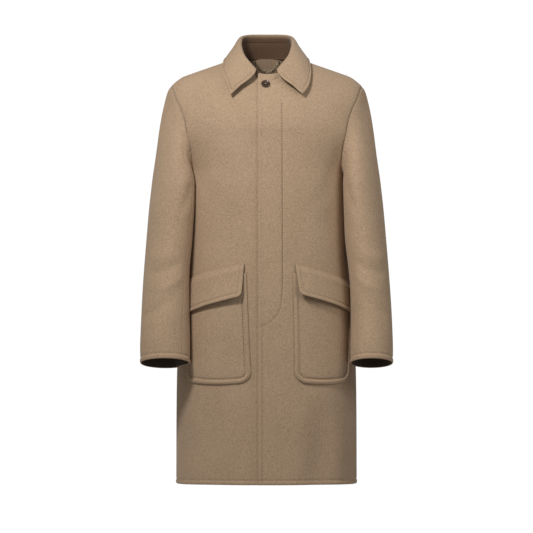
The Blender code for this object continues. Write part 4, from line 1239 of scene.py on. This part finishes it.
def path_run(points):
    """Distance of each point of a path from its start, along the path."""
    return np.concatenate(((0.0,), np.cumsum(np.linalg.norm(np.diff(points, axis=0), axis=1))))


def patch_grid(corners, radius, rows, columns):
    """Shares across and down a pocket or flap with round lower corners, rows from the top down."""
    width, drop = patch_size(corners)[1:]
    down = np.sin(np.linspace(0.0, 0.5 * math.pi, rows + 1))[:, None]
    short = np.maximum(radius - (1.0 - down) * drop, 0.0)
    inset = (radius - np.sqrt(radius ** 2 - short ** 2)) / width
    across = inset + np.linspace(0.0, 1.0, columns + 1)[None] * (1.0 - 2.0 * inset)
    return across, np.broadcast_to(down, across.shape)


def patch_path(corners, radius, inset, steps=160):
    """Shares across and down along a line at a distance inside the sides and bottom of a pocket or flap."""
    width, drop = patch_size(corners)[1:]
    bend = max(radius - inset, PATCH_LEAST_BEND)
    turn = np.linspace(0.0, 0.5 * math.pi, 16)
    left = np.stack((inset + bend * (1.0 - np.cos(turn)), inset + bend * (1.0 - np.sin(turn))), axis=-1)
    right = left[::-1] * np.array((-1.0, 1.0)) + np.array((width, 0.0))
    high = drop - PATCH_LINE_END
    line = np.concatenate((((inset, high),), left, right, ((width - inset, high),)))
    run = path_run(line)
    at = np.linspace(0.0, run[-1], steps)
    x, up = (np.interp(at, run, line[:, part]) for part in range(2))
    return x / width, 1.0 - up / drop


def patch_lift(across, down, lift_low, flare):
    """How far a patch's inner face stands off the front: it rises below the top and flares at the bottom."""
    rise = PATCH_GAP + (lift_low - PATCH_GAP) * ease(down / FLAP_RISE)
    return rise + (flare[0] + (flare[1] - flare[0]) * across) * down ** 2


def add_patch(name, side, corners, radius, lift_low, width, puff, groove, flare, cover=None):
    """A pocket or flap moved out from the front's own form, with a puffed welt and stitch groove round it.

    cover is the flap over a pocket: under it the pocket stays flat, so that the flap lies on it.
    """
    across, down = patch_grid(corners, radius, PATCH_ROWS, PATCH_COLUMNS)
    angle, height = patch_spots(corners, across, down)
    face = form(angle, height)
    normal = form_normal(angle, height)
    border = np.concatenate((face[:, 0], face[-1, 1:], face[-2::-1, -1]))
    beside = line_distance(face, border)
    relief = welt(beside, width, groove, puff, PATCH_NARROW) * ease(down / PATCH_TOP_FADE)
    full, full_run = PATCH_FULL
    relief += full * ease((beside - width) / full_run)
    if cover is not None:
        start, run = COVER_FADE
        relief *= ease((lower_edge(cover, face[..., 0]) - face[..., 2] - start) / run)
    lift = patch_lift(across, down, lift_low, flare) - lap_push(side, face[..., 0])
    inner = face + normal * lift[..., None]
    outer = inner + normal * (CLOTH + relief)[..., None]
    # A flap's inside takes the near-black lining, painted shade in the gap under it; a pocket's inside stays
    # wool
    free, inside = (GRID_EDGES, WOOL_INSIDE) if cover else (("top", "start", "end"), PAINTED_SHADE_LINING)
    return add_cloth(name, mirrored(outer, side), mirrored(inner, side), rims_of(CLOTH, free), inside=inside)


def stitch_frames(points, normals):
    """Middle, direction along and direction out of each stitch on a path, one every STITCH_PITCH."""
    run = path_run(points)
    count = max(int(run[-1] / STITCH_PITCH), 1)
    at = (np.arange(count) + 0.5) * run[-1] / count
    middle, out = between(at, run, points), between(at, run, normals)
    along = unit(between(at + STITCH_AHEAD, run, points) - middle)
    out = unit(out - along * np.sum(out * along, axis=1, keepdims=True))
    return middle, along, out


def ring_faces(count, around):
    """Faces between closed rings of points in order, and from the end rings to two poles after them."""
    number = np.arange(count * around).reshape(count, around)
    loops = np.concatenate((number, number[:, :1]), axis=1)
    pole = np.full(around, count * around)
    caps = np.concatenate((np.stack((loops[0, 1:], loops[0, :-1], pole), axis=-1),
                           np.stack((loops[-1, :-1], loops[-1, 1:], pole + 1), axis=-1)))
    return grid_quads(loops), caps


def add_stitches(name, frames, length=STITCH_LENGTH, thick=STITCH_THICK, material=THREAD):
    """Short rounded stitches in one mesh: each is a thread that swells at its middle and dips at both ends.

    Along a stitch, the radius follows a squared half circle from end to end, and the thread sinks by the
    square of the way from its middle.
    """
    middle, along, out = (np.concatenate(parts)[:, None, None] for parts in zip(*frames))
    side = np.cross(along, out)
    share = np.linspace(-1.0, 1.0, STITCH_RINGS + 2)[None, 1:-1, None, None]
    turn = full_turn(STITCH_AROUND)[None, None, :, None]
    radius = thick * np.sqrt(1.0 - share ** 4)
    sink = STITCH_ENDS * thick
    rings = (middle + 0.5 * length * share * along - sink * share ** 2 * out
             + radius * (np.cos(turn) * side + np.sin(turn) * out))
    ends = np.concatenate([middle[:, 0] + way * 0.5 * length * along[:, 0] - sink * out[:, 0]
                           for way in (-1.0, 1.0)], axis=1)
    points = np.concatenate((rings.reshape(len(middle), -1, 3), ends), axis=1)
    quads, caps = ring_faces(STITCH_RINGS, STITCH_AROUND)
    offset = points.shape[1] * np.arange(len(points))[:, None, None]
    faces = (quads[None] + offset).reshape(-1, 4).tolist() + (caps[None] + offset).reshape(-1, 3).tolist()
    return add_mesh(name, "coat", points, faces, (material,))


def seen_path(line, side, lift, steps=400):
    """Points and outward directions on a front along a line of x and z, moved out by lift."""
    line = np.array(line)
    run = path_run(line)
    at = np.linspace(0.0, run[-1], steps)
    x, z = (smooth(run, line[:, part], at) for part in range(2))
    spot = place(x, z)
    normal = form_normal(*spot)
    return mirrored(form(*spot) + lift * normal, side), mirrored(normal, side)


def patch_seam(corners, radius, side, inset, lift_low, flare, above=None):
    """Points and outward directions of the stitch line round a pocket or flap."""
    across, down = patch_path(corners, radius, inset)
    spot = patch_spots(corners, across, down)
    face = form(*spot)
    normal = form_normal(*spot)
    lift = patch_lift(across, down, lift_low, flare) - lap_push(side, face[:, 0]) + CLOTH
    points = face + normal * (lift - STITCH_SINK)[:, None]
    if above is not None:
        shown = face[:, 2] < lower_edge(above, face[:, 0]) - STITCH_BELOW_FLAP
        points, normal = points[shown], normal[shown]
    return mirrored(points, side), mirrored(normal, side)


def collar_seam():
    """Points and outward directions of the stitch lines inside the collar's edge and its two ends."""
    face = collar_grid(FALL_LINES)
    normal = grid_normals(face)
    edge = from_edge(face, "top")
    ends = np.minimum(from_edge(face, "start"), from_edge(face, "end"))
    row = np.argmin(np.abs(edge - COLLAR_WELT), axis=0)
    columns = np.arange(face.shape[1])
    keep = ends[row, columns] > COLLAR_WELT
    around = (face[row, columns][keep], normal[row, columns][keep])
    column = np.argmin(np.abs(from_edge(face, "start") - COLLAR_WELT), axis=1)
    rows = np.arange(len(face))
    keep = (edge[rows, column] > COLLAR_WELT) & (FALL_LINES > LEAF_STITCH_START)
    right = (face[rows, column][keep], normal[rows, column][keep])
    left = tuple(mirrored(part, -1.0) for part in right)
    lift = 0.5 * COLLAR_CLOTH - COLLAR_STITCH_SINK
    return [(points + lift * out, out) for points, out in (around, right, left)]


def revolved(profile, around):
    """Rings of (radius, height) points turned about an axis, as an array of profile points by steps round."""
    turn = full_turn(around)
    radius, height = profile[:, :1], np.broadcast_to(profile[:, 1:], (len(profile), around))
    return np.stack((radius * np.cos(turn), radius * np.sin(turn), height), axis=-1)


def closed_rings(rings):
    """Points and faces of rings joined in order, each closed on itself, with a pole at either end."""
    quads, caps = ring_faces(*rings.shape[:2])
    poles = np.stack((rings[0].mean(axis=0), rings[-1].mean(axis=0)))
    return np.concatenate((rings.reshape(-1, 3), poles)), quads.tolist() + caps.tolist()


# Radius and height of the turned button, from the middle of its face round its edge to its thread shank
BUTTON_PROFILE = ((0.0003, 0.0038), (0.0040, 0.0038), (0.0066, 0.0040), (0.0080, 0.0046), (0.0090, 0.0048),
                  (0.0097, 0.0045), (0.0100, 0.0038), (0.0100, 0.0027), (0.0097, 0.0020), (0.0090, 0.0016),
                  (0.0032, 0.0014), (0.0030, 0.0010), (0.0030, 0.0005))


def button_frame():
    """Middle of the button on the left front, and its directions across, up and out."""
    spot = place(BUTTON_X, BUTTON_Z)
    out = form_normal(*spot)
    across = unit(np.cross(np.array((0.0, 0.0, 1.0)), out))
    return form(*spot), across, np.cross(out, across), out


def add_button():
    """A dished four-hole button: its profile turned about its axis, with the holes sunk into its face.

    A hole lowers the face inside its own radius, with a short steep edge. Thread crosses between the holes.
    """
    keys = np.linspace(0.0, 1.0, len(BUTTON_PROFILE))
    flat, rest, holed = BUTTON_RINGS
    at = np.concatenate((np.linspace(0.0, keys[1], flat, endpoint=False), np.linspace(keys[1], 1.0, rest)))
    profile = np.stack([smooth(keys, column, at) for column in zip(*BUTTON_PROFILE)], axis=-1)
    rings = revolved(profile, BUTTON_AROUND)
    holes = BUTTON_HOLE_PLACE * np.array(((1.0, 0.0), (0.0, 1.0), (-1.0, 0.0), (0.0, -1.0)))
    apart = np.linalg.norm(rings[..., None, :2] - holes, axis=-1).min(axis=-1)
    on_face = (np.arange(len(profile)) < holed)[:, None]
    edge = np.exp((apart - BUTTON_HOLE_RADIUS) / BUTTON_HOLE_EDGE)
    rings[..., 2] -= on_face * BUTTON_HOLE_DEPTH / (1.0 + edge)
    middle, across, up, out = button_frame()
    cosine, sine = math.cos(BUTTON_TILT), math.sin(BUTTON_TILT)
    axes = np.stack((cosine * across + sine * up, cosine * up - sine * across, out))
    points, faces = closed_rings(rings @ axes + middle)
    button = add_mesh("button_horn", "coat", points, faces, (HORN,))
    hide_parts("button")
    lift, places, thick = BUTTON_THREAD
    frames = [(np.array([middle + lift * out]), line[None], out[None]) for line in axes[:2]]
    add_stitches("button_thread", frames, places * BUTTON_HOLE_PLACE, thick, PALE_THREAD)
    leftward = across * np.sign(across[0])
    tail = middle + np.array(HOLE_END_PLACE) @ np.stack((leftward, up, out))
    way = unit(np.array(HOLE_END_WAY) @ np.stack((leftward, up)))
    add_stitches("buttonhole_end", [(tail[None], way[None], out[None])], *HOLE_END_SIZE)


def tube(path, radius, around=10):
    """Rings of a round tube along a closed flat path: each ring lies across the path's own direction."""
    along = unit(np.roll(path, -1, axis=0) - np.roll(path, 1, axis=0))
    square = unit(np.cross(path[0] - path.mean(axis=0), along[0]))
    side = np.cross(along, square)
    turn = full_turn(around)[None, :, None]
    return path[:, None] + radius * (np.cos(turn) * side[:, None] + np.sin(turn) * square)


def add_links(name, body, paths):
    """Closed wire links, each a tube along its own oval path, in one mesh."""
    points, faces, size = [], [], 0
    for path in paths:
        rings = tube(path, 0.5 * CHAIN_WIRE)
        number = size + np.arange(rings[..., 0].size).reshape(rings.shape[:2])
        loops = np.concatenate((number, number[:, :1]), axis=1)
        faces.append(grid_quads(np.concatenate((loops, loops[:1]))))
        points.append(rings.reshape(-1, 3))
        size += len(points[-1])
    return add_mesh(name, body, np.concatenate(points), np.concatenate(faces), (CHAIN,))


def oval(middle, along, across, half_length, half_width, steps=12):
    """Points of a flat oval: two half circles joined by straight sides."""
    turn = np.linspace(-0.5 * math.pi, 0.5 * math.pi, steps)
    end = np.stack((half_length - half_width + half_width * np.cos(turn), half_width * np.sin(turn)), axis=-1)
    flat = np.concatenate((end, -end))
    return middle + flat[:, :1] * along + flat[:, 1:] * across


def path_point(points, distance, at):
    """Point at a distance along a path, which runs on straight past its ends."""
    if at < 0.0:
        return points[0] + at * unit(points[1] - points[0])
    if at > distance[-1]:
        return points[-1] + (at - distance[-1]) * unit(points[-1] - points[-2])
    return between(at, distance, points)


def add_hanger():
    """Two fixed rings at the back neck seam and the chain that hangs between them, as in the solids."""
    ring_top = RING_RADIUS + 0.5 * CHAIN_WIRE - RING_DROP
    spot = place(CHAIN_HALF_SPAN + RING_OVERHANG, ring_top, False)
    inside = form(*spot) - CLOTH * form_normal(*spot)
    anchor = np.array((0.0, inside[1] - RING_RADIUS - 0.5 * CHAIN_WIRE - RING_CLEAR, -RING_DROP))
    depth, up = np.array((0.0, 1.0, 0.0)), np.array((0.0, 0.0, 1.0))
    for word, side in (("left", 1.0), ("right", -1.0)):
        middle = np.array((side * CHAIN_HALF_SPAN, *anchor[1:]))
        ring = add_links("hanger_ring_%s_wire" % word, "coat",
                         [oval(middle, up, depth, RING_RADIUS, RING_SIDE_SHARE * RING_RADIUS, RING_STEPS)])
        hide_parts("hanger_ring_" + word)
    x = np.linspace(-CHAIN_HALF_SPAN, CHAIN_HALF_SPAN, CHAIN_STEPS)
    z = anchor[2] - RING_RADIUS - CHAIN_SAG * (1.0 - (x / CHAIN_HALF_SPAN) ** 2)
    points = np.stack((x, np.full_like(x, anchor[1]), z), axis=-1)
    distance = path_run(points)
    bite = CHAIN_WIRE + CHAIN_PLAY
    length = (distance[-1] + (CHAIN_PLACES + 1) * bite) / CHAIN_PLACES
    pitch = length - bite
    paths = []
    for number in range(CHAIN_SHORT_LINKS + 1):
        last = CHAIN_PLACES - 1 if number == CHAIN_SHORT_LINKS else number
        start = path_point(points, distance, number * pitch - bite)
        end = path_point(points, distance, last * pitch - bite + length)
        along = unit(end - start)
        across = depth if number % 2 else np.cross(depth, along)
        half_length = 0.5 * float(np.linalg.norm(end - start))
        paths.append(oval(0.5 * (start + end), along, across, half_length, CHAIN_HALF_WIDTH))
    chain = add_links("hanger_chain_links", "hanger_chain", paths)
    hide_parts(*["hanger_link_%02d" % (number + 1) for number in range(CHAIN_SHORT_LINKS + 1)])


def add_floor():
    """A pale disc under the coat, faintly uneven in tone."""
    turn = full_turn(FLOOR_STEPS)
    level = np.full_like(turn, FLOOR_Z)
    disc = np.stack((FLOOR_RADIUS * np.cos(turn), FLOOR_RADIUS * np.sin(turn), level), axis=-1)
    mesh = bpy.data.meshes.new("floor")
    mesh.from_pydata(disc.tolist(), [], [list(range(FLOOR_STEPS))])
    material, shader, tree, spot = new_material("floor_paper")
    cloud = noise(tree, spot, 0.8, 2.0)
    paint(tree, shader, "Base Color", cloud, greys((0.3, 0.61), (0.7, 0.63)))
    set_values(shader, Roughness=1.0)
    mesh.materials.append(material)
    add_object("floor", mesh)


def add_light(name, spot, towards, size, power):
    """A square soft light aimed at a point."""
    data = bpy.data.lights.new(name, "AREA")
    data.size = size
    data.energy = power
    data.color = LIGHT_TONE
    light = add_object(name, data)
    light.location = spot
    aim = unit(np.array(towards, float) - np.array(spot, float))
    light.rotation_euler = (math.acos(-aim[2]), 0.0, math.atan2(aim[0], -aim[1]) + math.pi)


def set_stage():
    """A white backdrop with weak room light, a main light from the upper left and a weak one at the right."""
    add_floor()
    world = bpy.data.worlds.new("room")
    world.use_nodes = True
    tree = world.node_tree
    strength = set_node(tree, "ShaderNodeMapRange", To_Min=ROOM_LIGHT, To_Max=ROOM_SEEN)
    tree.links.new(tree.nodes.new("ShaderNodeLightPath").outputs["Is Camera Ray"], strength.inputs["Value"])
    background = tree.nodes["Background"]
    set_values(background, Color=(1.0, 1.0, 1.0, 1.0))
    tree.links.new(strength.outputs["Result"], background.inputs["Strength"])
    bpy.context.scene.world = world
    bpy.context.scene.view_settings.view_transform = "Standard"
    add_light("main_light", *MAIN_LIGHT)
    add_light("fill_light", *FILL_LIGHT)


def dress():
    """Makes every piece of the coat."""
    made = [add_front("front_left", 1.0, LEFT_EDGE_X, LEFT_CREASES),
            add_front("front_right", -1.0, RIGHT_EDGE_X, RIGHT_CREASES),
            add_back("back_left", 1.0, BACK_LEFT_CREASES),
            add_back("back_right", -1.0, BACK_RIGHT_CREASES),
            *add_sleeve("left", 1.0, SLEEVE_LEFT),
            *add_sleeve("right", -1.0, SLEEVE_RIGHT),
            *add_collar(),
            add_facing()]
    flap_lift = CLOTH + 2.0 * PATCH_GAP
    seams = []
    for word, side, pocket, flap in (("left", 1.0, POCKET_LEFT, FLAP_LEFT),
                                     ("right", -1.0, POCKET_RIGHT, FLAP_RIGHT)):
        for kind, corners, radius, lift, width, puff, groove, flare, cover in (
                ("pocket_", pocket, POCKET_CORNER, PATCH_GAP, POCKET_WELT, POCKET_PUFF, POCKET_GROOVE,
                 NO_FLARE, flap),
                ("flap_", flap, FLAP_CORNER, flap_lift, FLAP_WELT, FLAP_PUFF, FLAP_GROOVE,
                 FLAP_FLARE, None)):
            made.append(add_patch(kind + word, side, corners, radius, lift, width, puff, groove, flare,
                                  cover))
            seams.append(patch_seam(corners, radius, side, width, lift, flare, cover))
    add_stitches("pocket_stitching", [stitch_frames(*seam) for seam in seams])
    add_stitches("fly_stitching", [stitch_frames(*seen_path(FLY_LINE, 1.0, -STITCH_SINK))])
    add_stitches("collar_stitching", [stitch_frames(*seam) for seam in collar_seam()])
    add_button()
    add_hanger()


set_stage()
dress()
